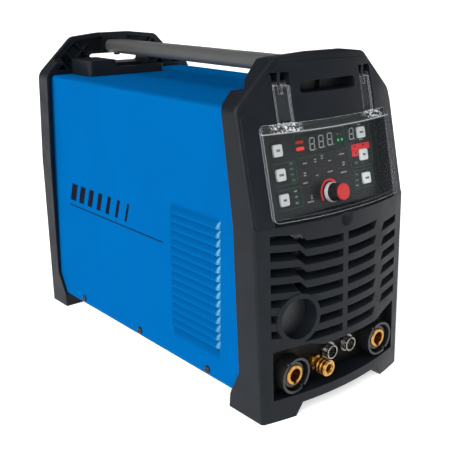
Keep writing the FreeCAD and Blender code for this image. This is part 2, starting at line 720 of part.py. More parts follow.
def handle_screws():
    screws = []
    for y in (BAR_Y0 + 7, BAR_Y1 - 7):
        screws.append(pan_screw(0, y, SLOT_Z1, (0, 0, 1), 4.0, 2.4, HANDLE_SCREW_R, 9.5))
    return group(screws)


def cover_screws():
    screws = []
    for side in (-1, 1):
        for y in SCREW_YS:
            x = side * COVER_HALF_W
            screws.append(pan_screw(x, y, SCREW_Z, (-side, 0, 0), 4.0, 2.0, SCREW_R, 8.0))
    return group(screws)


def bezel_screws():
    screws = []
    for side in (-1, 1):
        for y in (BEZEL_SCREW_Y0, BEZEL_SCREW_Y1):
            x = side * BEZEL_SCREW_X
            screws.append(pan_screw(x, y, UNDERSIDE_Z, (0, 0, 1), 4.0, 2.2, SCREW_R, 12.0))
    return group(screws)


def rear_panel_screws():
    screws = []
    for x, z in rear_screw_places():
        seat = rear_apex(z) - 3.2
        screws.append(pan_screw(x, seat, z, (0, -1, 0), 4.0, 2.2, SCREW_R, seat - REAR_PANEL_Y + 3))
    return group(screws)


# ---- clear cover ------------------------------------------------------------------------
def cover_face(offset):
    """Block whose front follows the clear cover: along the bezel, then sloping back at the fold."""
    wires = []
    for z, back in ((CLEAR_Z0 - 5, 0.0), (CLEAR_FOLD_Z, 0.0), (CLEAR_Z1, CLEAR_FOLD_BACK)):
        apex = front_apex(z) - CLEAR_PROUD + back + offset
        wires.append(section(z, HALF_W, apex, -1, FRONT_R, 110.0, EDGE_R))
    return Part.makeLoft(wires, True, True)


def clear_cover():
    outer = soft_box(-COVER_X, COVER_X, -FAR, 0, CLEAR_Z0, CLEAR_Z1, (0, 1, 0), 5.0)
    rim_in = 2.2
    inner = soft_box(
        -COVER_X + rim_in, COVER_X - rim_in, -FAR, 0, CLEAR_Z0 + rim_in, CLEAR_Z1 - rim_in, (0, 1, 0), 3.0
    )
    ledge_w = RECESS_HALF_W - 0.6
    ledge_z0 = RECESS_Z1 - 4.0
    ledge_z1 = RECESS_Z1 - 1.5
    in_recess = box(-ledge_w, ledge_w, -FAR, 0, RECESS_Z0, ledge_z1)
    taken = front_offset(-0.4).cut(in_recess)
    sheet = cover_face(0.0).common(outer).cut([cover_face(CLEAR_T), taken])
    rim = cover_face(0.0).common(outer.cut(inner)).cut(front_offset(-0.4))
    ledge = cover_face(0.0).common(box(-ledge_w, ledge_w, -FAR, 0, ledge_z0, ledge_z1))
    ledge = ledge.cut(front_offset(2.0))
    pieces = [rim, ledge]
    for side in (-1, 1):
        x = side * ARM_X
        half = ARM_W / 2
        arm = box(x - half, x + half, -FAR, 0, ledge_z0, HINGE_Z)
        root = cover_face(0.5).common(box(x - half, x + half, -FAR, 0, ledge_z0, ledge_z1))
        pieces.append(root.cut(front_offset(6.0)))
        pieces.append(front_skin(3.0, 6.0, arm))
        for edge in (-half, half - 1.6):
            flange = box(x + edge, x + edge + 1.6, -FAR, 0, ledge_z0 + 0.5, HINGE_Z)
            pieces.append(front_skin(1.2, 6.0, flange))
        pieces.append(rod(x - half, HINGE_Y, HINGE_Z, (1, 0, 0), KNUCKLE_R, ARM_W))
    body = sheet.multiFuse(pieces)
    for side in (-1, 1):
        x = side * ARM_X
        gap = box(x - 2.2, x + 2.2, -FAR, FAR, HINGE_Z - 7.5, HINGE_Z + 10)
        pin = rod(x - 20, HINGE_Y, HINGE_Z, (1, 0, 0), PIN_R + 0.05, 40)
        body = body.cut([gap, pin])
    return body.removeSplitter()


def hinge_pins():
    return group([
        rod(side * ARM_X - PIN_L / 2, HINGE_Y, HINGE_Z, (1, 0, 0), PIN_R, PIN_L) for side in (-1, 1)
    ])


# ---- control panel, built flat in (x, up the panel, out of the panel) -------------------
def on_panel(shape):
    lean = math.atan(UPPER_LEAN)
    up = V(0, math.sin(lean), math.cos(lean))
    out = V(0, -math.cos(lean), math.sin(lean))
    turn = FreeCAD.Rotation(V(1, 0, 0), up, out)
    place = FreeCAD.Placement(V(0, CORNER_Y + FASCIA_DEPTH, KINK_Z), turn)
    return shape.transformed(place.toMatrix())


def flat_pad(x, v, half_w, half_h, n0, n1, radius):
    return soft_box(x - half_w, x + half_w, v - half_h, v + half_h, n0, n1, (0, 0, 1), radius)


def control_fascia():
    half_w = RECESS_HALF_W - 0.2
    plate = box(-half_w, half_w, 1.7, 93.2, -2.0, 0.0)
    holes = []
    for x, v in BUTTONS.values():
        holes.append(flat_pad(x, v, BUTTON_HALF + 0.2, BUTTON_HALF + 0.2, -3, 1, 2.2))
    for x0, x1, v0, v1 in (MAIN_WINDOW, AUX_WINDOW):
        holes.append(box(x0 - 0.1, x1 + 0.1, v0 - 0.1, v1 + 0.1, -3, 1))
    holes.append(rod(KNOB_X, KNOB_V, -3, (0, 0, 1), 3.6, 6))
    return on_panel(plate.cut(holes))


def display(window):
    x0, x1, v0, v1 = window
    glass = box(x0, x1, v0, v1, -1.5, 0.0)
    module = box(x0 + 1, x1 - 1, v0 + 1, v1 - 1, PCB_N, -1.5)
    return on_panel(glass.fuse(module).removeSplitter())


def button(x, v):
    cap = flat_pad(x, v, BUTTON_HALF, BUTTON_HALF, -4.0, 2.2, 2.0)
    top = [e for e in cap.Edges if e.BoundBox.ZMin > 2.19]
    cap = cap.makeFillet(0.7, top)
    skirt = flat_pad(x, v, BUTTON_HALF + 1, BUTTON_HALF + 1, -4.0, -3.0, 2.0)
    return on_panel(cap.fuse(skirt).removeSplitter())


def encoder():
    body = box(KNOB_X - 6.5, KNOB_X + 6.5, KNOB_V - 6.5, KNOB_V + 6.5, PCB_N, -2.1)
    bush = rod(KNOB_X, KNOB_V, -2.1, (0, 0, 1), 3.4, 4.0)
    shaft = rod(KNOB_X, KNOB_V, 0, (0, 0, 1), SHAFT_R, 12.0)
    return on_panel(body.multiFuse([bush, shaft]).removeSplitter())


def knob():
    skirt = rod(KNOB_X, KNOB_V, 0.6, (0, 0, 1), 9.4, 4.4)
    body = rod(KNOB_X, KNOB_V, 5.0, (0, 0, 1), 8.8, 11.4)
    knob_body = skirt.fuse(body).removeSplitter()
    grooves = []
    for i in range(24):
        turn = math.radians(15 * i)
        x = KNOB_X + 9.3 * math.cos(turn)
        v = KNOB_V + 9.3 * math.sin(turn)
        grooves.append(rod(x, v, 6.0, (0, 0, 1), 0.8, 20))
    bore = rod(KNOB_X, KNOB_V, 0, (0, 0, 1), SHAFT_R + 0.05, 12.3)
    counterbore = rod(KNOB_X, KNOB_V, 0, (0, 0, 1), 4.2, 2.6)
    return on_panel(knob_body.cut(grooves + [bore, counterbore]))


def knob_cap():
    cap = rod(KNOB_X, KNOB_V, 16.4, (0, 0, 1), 8.3, 2.4)
    rim = [e for e in cap.Edges if e.BoundBox.ZMin > 18.7]
    return on_panel(cap.makeFillet(1.2, rim))


def control_pcb():
    board = box(-80, 80, 4, 90, PCB_N - 1.6, PCB_N)
    pieces = [board]
    for x, v in BUTTONS.values():
        pieces.append(box(x - 3, x + 3, v - 3, v + 3, PCB_N, PCB_N + 2.2))
        pieces.append(rod(x, v, PCB_N, (0, 0, 1), 1.5, 2.8))
    for x in (-60, -20, 30):
        pieces.append(box(x, x + 18, 40, 58, PCB_N - 4.6, PCB_N - 1.6))
    return on_panel(pieces[0].multiFuse(pieces[1:]).removeSplitter())


def pcb_standoffs():
    posts = []
    for x in (-76, 76):
        for v in (11, 84):
            posts.append(rod(x, v, PCB_N, (0, 0, 1), 3.0, -2.0 - PCB_N))
    return on_panel(group(posts))


# ---- front sockets ----------------------------------------------------------------------
def dinse_shell(side):
    """Insulating collar round an output socket."""
    x, z = side * DINSE_X, DINSE_Z
    flange = rod(x, PLATE_Y - 4.0, z, (0, 1, 0), DINSE_R, 4.0)
    wall = annulus(x, DINSE_FRONT_Y, z, (0, 1, 0), DINSE_R, DINSE_R - 2.6, PLATE_Y - DINSE_FRONT_Y)
    neck = rod(x, DINSE_FRONT_Y + 3.5, z, (0, 1, 0), 13.2, PLATE_Y - DINSE_FRONT_Y - 3.5)
    hub = rod(x, PLATE_Y, z, (0, 1, 0), DINSE_HUB_R, 14.0)
    body = flange.multiFuse([wall, neck, hub]).removeSplitter()
    bore = rod(x, -FAR, z, (0, 1, 0), BRASS_R, 2 * FAR)
    notches = []
    for turn in (-55, 125):
        a = math.radians(turn)
        nx, nz = x + 17.5 * math.cos(a), z + 17.5 * math.sin(a)
        notches.append(rod(nx, DINSE_FRONT_Y - 1, nz, (0, 1, 0), 1.8, 3.0))
    return body.cut([bore] + notches)


def dinse_contact(side):
    """Brass socket with its keyed bore and rear terminal."""
    x, z = side * DINSE_X, DINSE_Z
    front = DINSE_FRONT_Y + 1.8
    barrel = rod(x, front, z, (0, 1, 0), BRASS_R, PLATE_Y + 24 - front)
    rim = [e for e in barrel.Edges if abs(e.BoundBox.YMax - front) < 0.01]
    barrel = barrel.makeChamfer(0.8, rim)
    nut = annulus(x, PLATE_Y + 14.2, z, (0, 1, 0), 13.5, BRASS_R, 5.0)
    bore = rod(x, front - 1, z, (0, 1, 0), DINSE_BORE_R, 1 + DINSE_BORE_L)
    key = box(x - 2, x + 2, front - 1, front + DINSE_BORE_L - 5, z - DINSE_BORE_R - 2.2, z)
    stud = rod(x, PLATE_Y + 24, z, (0, 1, 0), 5.0, 9.0)
    return barrel.multiFuse([nut, stud]).removeSplitter().cut([bore, key])


def gas_outlet_body():
    """Bulkhead body of the torch gas coupling, with its hose tail behind the plate."""
    flange = hexagon(GAS_X, PLATE_Y - 4.0, GAS_Z, 14.0, 4.0)
    front = rod(GAS_X, GAS_FRONT_Y + 1.5, GAS_Z, (0, 1, 0), 5.2, PLATE_Y - GAS_FRONT_Y - 1.5)
    stem = rod(GAS_X, PLATE_Y, GAS_Z, (0, 1, 0), 5.0, 10.0)
    tail = rod(GAS_X, PLATE_Y + 10, GAS_Z, (0, 1, 0), 3.0, 14.0)
    nut = hexagon(GAS_X, PLATE_Y + PLATE_T, GAS_Z, 15.0, 4.0)
    bore = rod(GAS_X, -FAR, GAS_Z, (0, 1, 0), 1.8, 2 * FAR)
    mouth = rod(GAS_X, -FAR, GAS_Z, (0, 1, 0), GAS_BORE_R, FAR + GAS_FRONT_Y + 12)
    body = flange.multiFuse([front, stem, tail, nut]).removeSplitter()
    return body.cut([bore, mouth])


def gas_outlet_sleeve():
    """Ringed sleeve that is pushed back to release the plug."""
    y0 = GAS_FRONT_Y
    sleeve = rod(GAS_X, y0, GAS_Z, (0, 1, 0), 7.6, GAS_SLEEVE_L)
    for offset in (1.2, 5.6, 10.0):
        sleeve = sleeve.fuse(rod(GAS_X, y0 + offset, GAS_Z, (0, 1, 0), 8.6, 2.6))
    bore = rod(GAS_X, y0 - 1, GAS_Z, (0, 1, 0), 5.26, 40)
    return sleeve.removeSplitter().cut(bore)


def control_socket(x):
    """Round threaded shell of a remote control socket."""
    z = CONTROL_SOCKET_Z
    front = PLATE_Y - CONTROL_PROUD
    shell = rod(x, front, z, (0, 1, 0), CONTROL_R, CONTROL_PROUD + PLATE_T + 6)
    flange = annulus(x, PLATE_Y - 3.0, z, (0, 1, 0), CONTROL_R + 2.0, CONTROL_R, 3.0)
    nut = hexagon(x, PLATE_Y + PLATE_T, z, 2 * CONTROL_R + 3.0, 3.0)
    grooves = []
    for i in range(3):
        grooves.append(annulus(x, front + 1.6 + i * 1.5, z, (0, 1, 0), CONTROL_R + 1, CONTROL_R - 0.5, 0.7))
    bore = rod(x, front - 1, z, (0, 1, 0), CONTROL_R - 1.5, 60)
    keyway = box(x - 1, x + 1, front - 1, front + 5, z, z + CONTROL_R - 0.7)
    return shell.multiFuse([flange, nut]).removeSplitter().cut(grooves + [bore, keyway])


def control_insert(x, pins):
    """Insulator with its contacts, set back inside the shell."""
    z = CONTROL_SOCKET_Z
    front = PLATE_Y - CONTROL_PROUD
    block = rod(x, front + 5.0, z, (0, 1, 0), CONTROL_R - 1.5, 12.0)
    parts = [block]
    for i in range(pins):
        turn = 2 * math.pi * i / pins + 0.4
        px, pz = x + 3.6 * math.cos(turn), z + 3.6 * math.sin(turn)
        parts.append(rod(px, front + 1.5, pz, (0, 1, 0), 0.8, 20.0))
    return parts[0].multiFuse(parts[1:]).removeSplitter()


# ---- rear fittings ----------------------------------------------------------------------
def fan_corners():
    half = 52.5
    return [(sx * half, FAN_Z + sz * half) for sx in (-1, 1) for sz in (-1, 1)]


def fan_frame():
    half = FAN_SIZE / 2
    y0 = REAR_PANEL_Y - 25.0
    frame = soft_box(-half, half, y0, REAR_PANEL_Y, FAN_Z - half, FAN_Z + half, (0, 1, 0), 4.0)
    frame = frame.cut(rod(0, y0 - 1, FAN_Z, (0, 1, 0), half - 2.5, 40))
    hub = rod(0, y0, FAN_Z, (0, 1, 0), 19.0, 3.0)
    struts = []
    for i in range(4):
        strut = box(-2.5, 2.5, y0, y0 + 3, FAN_Z, FAN_Z + half)
        strut.rotate(V(0, 0, FAN_Z), V(0, 1, 0), 45 + 90 * i)
        struts.append(strut)
    frame = frame.multiFuse([hub] + struts).removeSplitter()
    holes = [rod(x, y0 - 1, z, (0, 1, 0), 2.0, 40) for x, z in fan_corners()]
    holes.append(rod(0, y0 - 1, FAN_Z, (0, 1, 0), FAN_SHAFT_R + 0.05, 40))
    return frame.cut(holes)


def fan_rotor():
    y0 = REAR_PANEL_Y - 21.5
    hub = rod(0, y0, FAN_Z, (0, 1, 0), 20.0, 19.5)
    shaft = rod(0, REAR_PANEL_Y - 24.8, FAN_Z, (0, 1, 0), FAN_SHAFT_R, 6.0)
    blades = []
    for i in range(7):
        blade = box(-12, 12, y0 + 9, y0 + 11, FAN_Z + 18, FAN_Z + 60)
        blade.rotate(V(0, y0 + 10, FAN_Z), V(0, 0, 1), 38)
        blade.rotate(V(0, 0, FAN_Z), V(0, 1, 0), 360 / 7 * i)
        blades.append(blade)
    swept = rod(0, y0 + 0.5, FAN_Z, (0, 1, 0), 55.5, 18.5)
    blades = [blade.common(swept) for blade in blades]
    return hub.multiFuse([shaft] + blades).removeSplitter()


def fan_guard():
    y = REAR_PANEL_Y + PANEL_T + 4.0
    rings = [Part.makeTorus(r, 1.1, V(0, y, FAN_Z), V(0, 1, 0)) for r in (16, 26, 36, 46, 56)]
    parts = rings
    for i in range(4):
        spoke = rod(16, y + 1.6, FAN_Z, (1, 0, 0), 1.1, 42)
        spoke.rotate(V(0, 0, FAN_Z), V(0, 1, 0), 45 + 90 * i)
        parts.append(spoke)
    for x, z in fan_corners():
        reach = math.hypot(x, z - FAN_Z)
        toe = V(x, REAR_PANEL_Y + PANEL_T + 1.1, z)
        heel = V(x * 56 / reach, y, FAN_Z + (z - FAN_Z) * 56 / reach)
        leg = Part.makeCylinder(1.1, (toe - heel).Length, heel, toe - heel)
        eye = annulus(x, REAR_PANEL_Y + PANEL_T, z, (0, 1, 0), 4.4, 2.1, 2.2)
        leg = leg.cut(rod(x, 0, z, (0, 1, 0), 2.1, FAR))
        parts.append(leg.cut(rod(x, REAR_PANEL_Y + PANEL_T + 2.2, z, (0, 1, 0), 4.0, FAR)))
        parts.append(eye)
    return parts[0].multiFuse(parts[1:]).removeSplitter()


def fan_screws():
    seat = REAR_PANEL_Y + PANEL_T + 2.2
    return group([pan_screw(x, seat, z, (0, -1, 0), 3.8, 2.2, 2.0, 26.0) for x, z in fan_corners()])


def power_switch_body():
    back = REAR_PANEL_Y + PANEL_T
    flange = soft_box(
        SWITCH_X - 17, SWITCH_X + 17, back, back + 2, SWITCH_Z - 13, SWITCH_Z + 13, (0, 1, 0), 2.0
    )
    body = box(SWITCH_X - 13.9, SWITCH_X + 13.9, back - 24, back, SWITCH_Z - 9.9, SWITCH_Z + 9.9)
    well = box(SWITCH_X - 11.5, SWITCH_X + 11.5, back - 8, back + 3, SWITCH_Z - 8.6, SWITCH_Z + 8.6)
    pivot = rod(SWITCH_X - 12.7, back - 1, SWITCH_Z, (1, 0, 0), 1.25, 25.4)
    terminals = []
    for dx in (-7, 7):
        for dz in (-5, 5):
            x, z = SWITCH_X + dx, SWITCH_Z + dz
            terminals.append(box(x - 3, x + 3, back - 32, back - 24, z - 0.4, z + 0.4))
    return flange.multiFuse([body] + terminals).removeSplitter().cut([well, pivot])


def power_switch_rocker():
    back = REAR_PANEL_Y + PANEL_T - 1
    dish = [(back - 2, -7.6), (back + 4.6, -7.6), (back + 2.4, 0), (back + 4.6, 7.6), (back - 2, 7.6)]
    rocker = prism_x([(y, SWITCH_Z + z) for y, z in dish], SWITCH_X - 11, SWITCH_X + 11)
    pivot = rod(SWITCH_X - 12.5, back, SWITCH_Z, (1, 0, 0), 1.2, 25.0)
    rocker = rocker.fuse(pivot).removeSplitter()
    rocker.rotate(V(SWITCH_X, back, SWITCH_Z), V(1, 0, 0), -ROCKER_TILT)
    return rocker


def cable_gland():
    """Strain relief body that the supply lead would enter."""
    back = REAR_PANEL_Y + PANEL_T
    collar = hexagon(GLAND_X, back, GLAND_Z, 26.0, 6.0)
    dome = rod(GLAND_X, back + 6, GLAND_Z, (0, 1, 0), 12.4, 14.0)
    rim = [e for e in dome.Edges if e.BoundBox.YMin > back + 19.9]
    dome = dome.makeFillet(3.5, rim)
    thread = rod(GLAND_X, back - 12, GLAND_Z, (0, 1, 0), GLAND_R, 12)
    bore = rod(GLAND_X, 0, GLAND_Z, (0, 1, 0), GLAND_BORE_R, FAR)
    flutes = []
    for i in range(12):
        turn = math.radians(30 * i)
        x = GLAND_X + 13.0 * math.cos(turn)
        z = GLAND_Z + 13.0 * math.sin(turn)
        flutes.append(rod(x, back + 6.5, z, (0, 1, 0), 1.3, 9.0))
    return collar.multiFuse([dome, thread]).removeSplitter().cut(flutes + [bore])


def cable_gland_nut():
    nut = hexagon(GLAND_X, REAR_PANEL_Y - 5, GLAND_Z, 25.0, 5.0)
    return nut.cut(rod(GLAND_X, 0, GLAND_Z, (0, 1, 0), GLAND_R, FAR))


def gas_inlet():
    """Hose tail on the back for the shielding gas supply."""
    back = REAR_PANEL_Y + PANEL_T
    collar = hexagon(INLET_X, back, GLAND_Z, 16.0, 6.0)
    stem = rod(INLET_X, back - 7, GLAND_Z, (0, 1, 0), INLET_R, 7.0)
    core = rod(INLET_X, back + 6, GLAND_Z, (0, 1, 0), INLET_TAIL_R - 0.4, 14.0)
    tail = rod(INLET_X, back + 18, GLAND_Z, (0, 1, 0), INLET_TAIL_R, 8.0)
    barbs = []
    for i in range(3):
        foot = V(INLET_X, back + 7 + i * 3.6, GLAND_Z)
        barbs.append(Part.makeCone(INLET_TAIL_R + 1.0, INLET_TAIL_R, 3.2, foot, V(0, 1, 0)))
    bore = rod(INLET_X, 0, GLAND_Z, (0, 1, 0), 2.5, FAR)
    return collar.multiFuse([stem, core, tail] + barbs).removeSplitter().cut(bore)


# ---- inside -----------------------------------------------------------------------------
def solenoid_valve():
    y1 = REAR_PANEL_Y + PANEL_T - 7
    block = box(INLET_X - 13, INLET_X + 13, y1 - 26, y1, GLAND_Z - 12, GLAND_Z + 12)
    coil = box(INLET_X - 12, INLET_X + 12, y1 - 25, y1 - 1, GLAND_Z - 38, GLAND_Z - 14)
    core = rod(INLET_X, y1 - 13, GLAND_Z - 41, (0, 0, 1), 5.0, 34)
    tail = rod(INLET_X, y1 - 40, GLAND_Z, (0, 1, 0), 3.0, 14)
    bore = rod(INLET_X, y1 - 41, GLAND_Z, (0, 1, 0), 1.8, 42)
    return block.multiFuse([coil, core, tail]).removeSplitter().cut(bore)


def gas_hose():
    """Hose from the valve to the torch gas coupling, along the right side."""
    valve_y = REAR_PANEL_Y + PANEL_T - 7 - 26
    side_x = 80.0
    turn_y = CORNER_Y + 72
    points = [
        (INLET_X, valve_y - 1, GLAND_Z),
        (INLET_X, valve_y - 34, GLAND_Z),
        (side_x, valve_y - 64, GLAND_Z),
        (side_x, turn_y, GLAND_Z),
        (GAS_X, turn_y, GLAND_Z),
        (GAS_X, turn_y - 14, GAS_Z),
        (GAS_X, PLATE_Y + 11, GAS_Z),
    ]
    outer = tube_path(points, 4.6, 12.0)
    bore = tube_path(points, 3.0, 12.0)
    return outer.cut(bore)


def component_deck():
    y0, y1 = CORNER_Y + 110, CORNER_Y + 345
    deck = box(-90, 90, y0, y1, BASE_TOP_Z, DECK_Z)
    deck = deck.cut(box(-88.5, 88.5, y0 - 1, y1 + 1, 0, DECK_Z - 1.5))
    vents = []
    for i in range(6):
        y = y0 + 20 + i * 34
        vents.append(soft_box(-70, 70, y, y + 14, 60, DECK_Z + 5, (0, 0, 1), 4.0))
    return deck.cut(vents)


def heatsinks():
    y0, y1 = CORNER_Y + 125, CORNER_Y + 330
    sinks = []
    for side in (-1, 1):
        x0 = 5 if side > 0 else -85
        sink = box(x0, x0 + 80, y0, y1, SINK_Z - 8, SINK_Z)
        fins = []
        for i in range(10):
            x = x0 + i * (78.0 / 9)
            fins.append(box(x, x + 2, y0, y1, DECK_Z, SINK_Z - 8))
        sinks.append(sink.multiFuse(fins).removeSplitter())
    return group(sinks)


def power_modules():
    modules = []
    for x in (-45, 45):
        for y in (150, 210, 270):
            y0 = CORNER_Y + y
            case = soft_box(x - 17, x + 17, y0, y0 + 46, SINK_Z, SINK_Z + 14, (0, 0, 1), 3.0)
            posts = [rod(x, y0 + dy, SINK_Z + 14, (0, 0, 1), 4.0, 5.0) for dy in (10, 23, 36)]
            modules.append(case.multiFuse(posts).removeSplitter())
    return group(modules)


def main_pcb():
    board = box(-88, 88, CORNER_Y + 112, CORNER_Y + 342, PCB_Z, PCB_Z + 1.6)
    parts = [board]
    top = PCB_Z + 1.6
    for x, y, w, d, h in ((-70, 130, 26, 22, 24), (46, 130, 34, 30, 28), (-8, 128, 20, 26, 16)):
        parts.append(box(x, x + w, CORNER_Y + y, CORNER_Y + y + d, top, top + h))
    for i in range(6):
        x = -75 + i * 28
        parts.append(box(x, x + 9, CORNER_Y + 322, CORNER_Y + 328, top, top + 14))
    return parts[0].multiFuse(parts[1:]).removeSplitter()


def bulk_capacitors():
    cans = []
    for x in (-58, -20, 20, 58):
        for y in (195, 245, 295):
            can = rod(x, CORNER_Y + y, PCB_Z + 1.6, (0, 0, 1), 17.0, 46.0)
            rim = [e for e in can.Edges if e.BoundBox.ZMin > PCB_Z + 47]
            cans.append(can.makeFillet(1.5, rim))
    return group(cans)


def transformer_core():
    y0, y1 = CORNER_Y + 226, CORNER_Y + 266
    core = box(-79, -13, y0, y1, BASE_TOP_Z, 86)
    windows = [box(x, x + 12, y0 - 1, y1 + 1, 32, 74) for x in (-69, -35)]
    return core.cut(windows)


def transformer_winding():
    y0, y1 = CORNER_Y + 214, CORNER_Y + 278
    coil = soft_box(-68, -24, y0, y1, 33, 73, (0, 0, 1), 8.0)
    leg = box(-57.2, -34.8, y0 + 11.8, y1 - 11.8, 0, 100)
    return coil.cut(leg)


def output_choke():
    z = BASE_TOP_Z + 15
    ring = Part.makeTorus(24.0, 9.0, V(38, CORNER_Y + 246, z), V(0, 0, 1))
    turns = []
    for i in range(18):
        turn = 2 * math.pi * i / 18
        x = 38 + 24 * math.cos(turn)
        y = CORNER_Y + 246 + 24 * math.sin(turn)
        axis = V(-math.sin(turn), math.cos(turn), 0)
        turns.append(Part.makeTorus(10.2, 2.0, V(x, y, z), axis))
    foot = rod(38, CORNER_Y + 246, BASE_TOP_Z, (0, 0, 1), 26.0, 7.5)
    return ring.multiFuse(turns + [foot]).removeSplitter()


def hf_coil():
    """Ferrite ring round the output bar that couples in the arc starter."""
    x, y, z = -DINSE_X, CORNER_Y + 150, DINSE_Z
    ring = annulus(x, y, z, (0, 1, 0), 21.0, 12.5, 16.0)
    foot = box(x - 10, x + 10, y, y + 16, BASE_TOP_Z, z - 19)
    return ring.fuse(foot).removeSplitter()


def output_busbars():
    y0 = PLATE_Y + 24
    bars = []
    for side, length in ((-1, 170.0), (1, 172.0)):
        x = side * DINSE_X
        flat = box(x - 10, x + 10, y0 + 4, y0 + length, DINSE_Z - 1.5, DINSE_Z + 1.5)
        lug = box(x - 10, x + 10, y0 + 1, y0 + 4, DINSE_Z - 10, DINSE_Z + 10)
        bar = flat.fuse(lug).removeSplitter()
        bars.append(bar.cut(rod(x, y0 - 5, DINSE_Z, (0, 1, 0), 5.0, 14)))
    return group(bars)


def ribbon_cable():
    """Flat cable from the control board down to the main board."""
    t = 1.2
    low = PCB_Z + 1.6
    near = CORNER_Y + FASCIA_DEPTH + 15
    far = CORNER_Y + 118
    points = [(near, 216), (near + 10, 216), (far - 20, low + 14), (far, low + 14), (far, low)]
    points += [(far + t, low), (far + t, low + 14 + t), (far - 20 + t, low + 14 + t)]
    points += [(near + 10 + t, 216 + t), (near, 216 + t)]
    return prism_x(points, -52, -22)


# ---- build ------------------------------------------------------------------------------
def nodes():
    made = {
        "front_bezel": front_bezel(),
        "rear_bezel": rear_bezel(),
        "side_cover": cover(),
        "base_plate": base_plate(),
        "rear_panel": rear_panel(),
        "socket_plate": socket_plate(),
        "blanking_disc": blanking_disc(),
        "handle_bar": handle_bar(),
        "handle_screws": handle_screws(),
        "cover_screws": cover_screws(),
        "bezel_screws": bezel_screws(),
        "rear_panel_screws": rear_panel_screws(),
        "clear_cover": clear_cover(),
        "hinge_pins": hinge_pins(),
        "control_fascia": control_fascia(),
        "display_main": display(MAIN_WINDOW),
        "display_aux": display(AUX_WINDOW),
        "encoder": encoder(),
        "knob": knob(),
        "knob_cap": knob_cap(),
        "control_pcb": control_pcb(),
        "pcb_standoffs": pcb_standoffs(),
        "gas_outlet_body": gas_outlet_body(),
        "gas_outlet_sleeve": gas_outlet_sleeve(),
        "fan_frame": fan_frame(),
        "fan_rotor": fan_rotor(),
        "fan_guard": fan_guard(),
        "fan_screws": fan_screws(),
        "power_switch_body": power_switch_body(),
        "power_switch_rocker": power_switch_rocker(),
        "cable_gland": cable_gland(),
        "cable_gland_nut": cable_gland_nut(),
        "gas_inlet": gas_inlet(),
        "solenoid_valve": solenoid_valve(),
        "gas_hose": gas_hose(),
        "component_deck": component_deck(),
        "heatsinks": heatsinks(),
        "power_modules": power_modules(),
        "main_pcb": main_pcb(),
        "bulk_capacitors": bulk_capacitors(),
        "transformer_core": transformer_core(),
        "transformer_winding": transformer_winding(),
        "output_choke": output_choke(),
        "hf_coil": hf_coil(),
        "output_busbars": output_busbars(),
        "ribbon_cable": ribbon_cable(),
    }
    for name, (x, v) in BUTTONS.items():
        made[name] = button(x, v)
    for side, word in ((-1, "left"), (1, "right")):
        made["output_socket_shell_" + word] = dinse_shell(side)
        made["output_socket_contact_" + word] = dinse_contact(side)
    for x, word, pins in zip(CONTROL_SOCKET_XS, ("left", "right"), (7, 2)):
        made["control_socket_" + word] = control_socket(x)
        made["control_socket_insert_" + word] = control_insert(x, pins)
    return made


os.makedirs("parts", exist_ok=True)
for node_name, node_shape in nodes().items():
    export(node_name, node_shape)
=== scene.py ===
import json
import math

import bmesh
import bpy
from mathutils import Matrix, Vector


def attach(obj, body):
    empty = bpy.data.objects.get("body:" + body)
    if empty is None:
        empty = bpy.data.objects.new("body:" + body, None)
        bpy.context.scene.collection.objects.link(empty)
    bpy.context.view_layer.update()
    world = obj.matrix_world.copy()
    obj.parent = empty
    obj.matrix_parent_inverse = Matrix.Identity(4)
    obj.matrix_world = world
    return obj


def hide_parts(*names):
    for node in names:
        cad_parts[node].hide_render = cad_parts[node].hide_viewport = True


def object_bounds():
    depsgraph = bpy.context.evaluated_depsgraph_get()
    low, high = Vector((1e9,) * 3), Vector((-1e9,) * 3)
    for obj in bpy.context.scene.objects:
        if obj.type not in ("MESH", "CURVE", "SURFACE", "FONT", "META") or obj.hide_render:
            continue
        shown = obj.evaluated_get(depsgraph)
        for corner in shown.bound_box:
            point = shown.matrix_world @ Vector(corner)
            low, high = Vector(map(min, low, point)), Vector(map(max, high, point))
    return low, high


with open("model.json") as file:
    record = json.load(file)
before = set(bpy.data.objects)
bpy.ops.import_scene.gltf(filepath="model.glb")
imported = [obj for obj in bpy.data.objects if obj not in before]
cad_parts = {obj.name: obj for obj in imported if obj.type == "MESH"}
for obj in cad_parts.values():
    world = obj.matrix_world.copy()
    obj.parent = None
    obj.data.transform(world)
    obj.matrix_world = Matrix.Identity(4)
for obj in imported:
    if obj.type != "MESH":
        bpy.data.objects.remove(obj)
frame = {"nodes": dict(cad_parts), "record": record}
cad_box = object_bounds()

# TIG welding machine: the looks.  Metres, +X right seen from the front, front faces -Y, +Z up.
MM = 0.001

# ---- camera -----------------------------------------------------------------------------
CAMERA_PLACE = (-0.551964, -0.671853, 0.410229)
CAMERA_TURN = 0.707       # radians from +Y towards +X
CAMERA_TILT = 0.307       # radians below the horizon
CAMERA_LENS = 61.07
SENSOR = 36.0


def add_camera():
    flat = math.cos(CAMERA_TILT)
    look = Vector((math.sin(CAMERA_TURN) * flat, math.cos(CAMERA_TURN) * flat, -math.sin(CAMERA_TILT)))
    data = bpy.data.cameras.new("camera")
    data.lens = CAMERA_LENS
    data.sensor_width = SENSOR
    camera = bpy.data.objects.new("camera", data)
    camera.location = CAMERA_PLACE
    camera.rotation_euler = look.to_track_quat("-Z", "Y").to_euler()
    bpy.context.scene.collection.objects.link(camera)
    bpy.context.scene.camera = camera


add_camera()


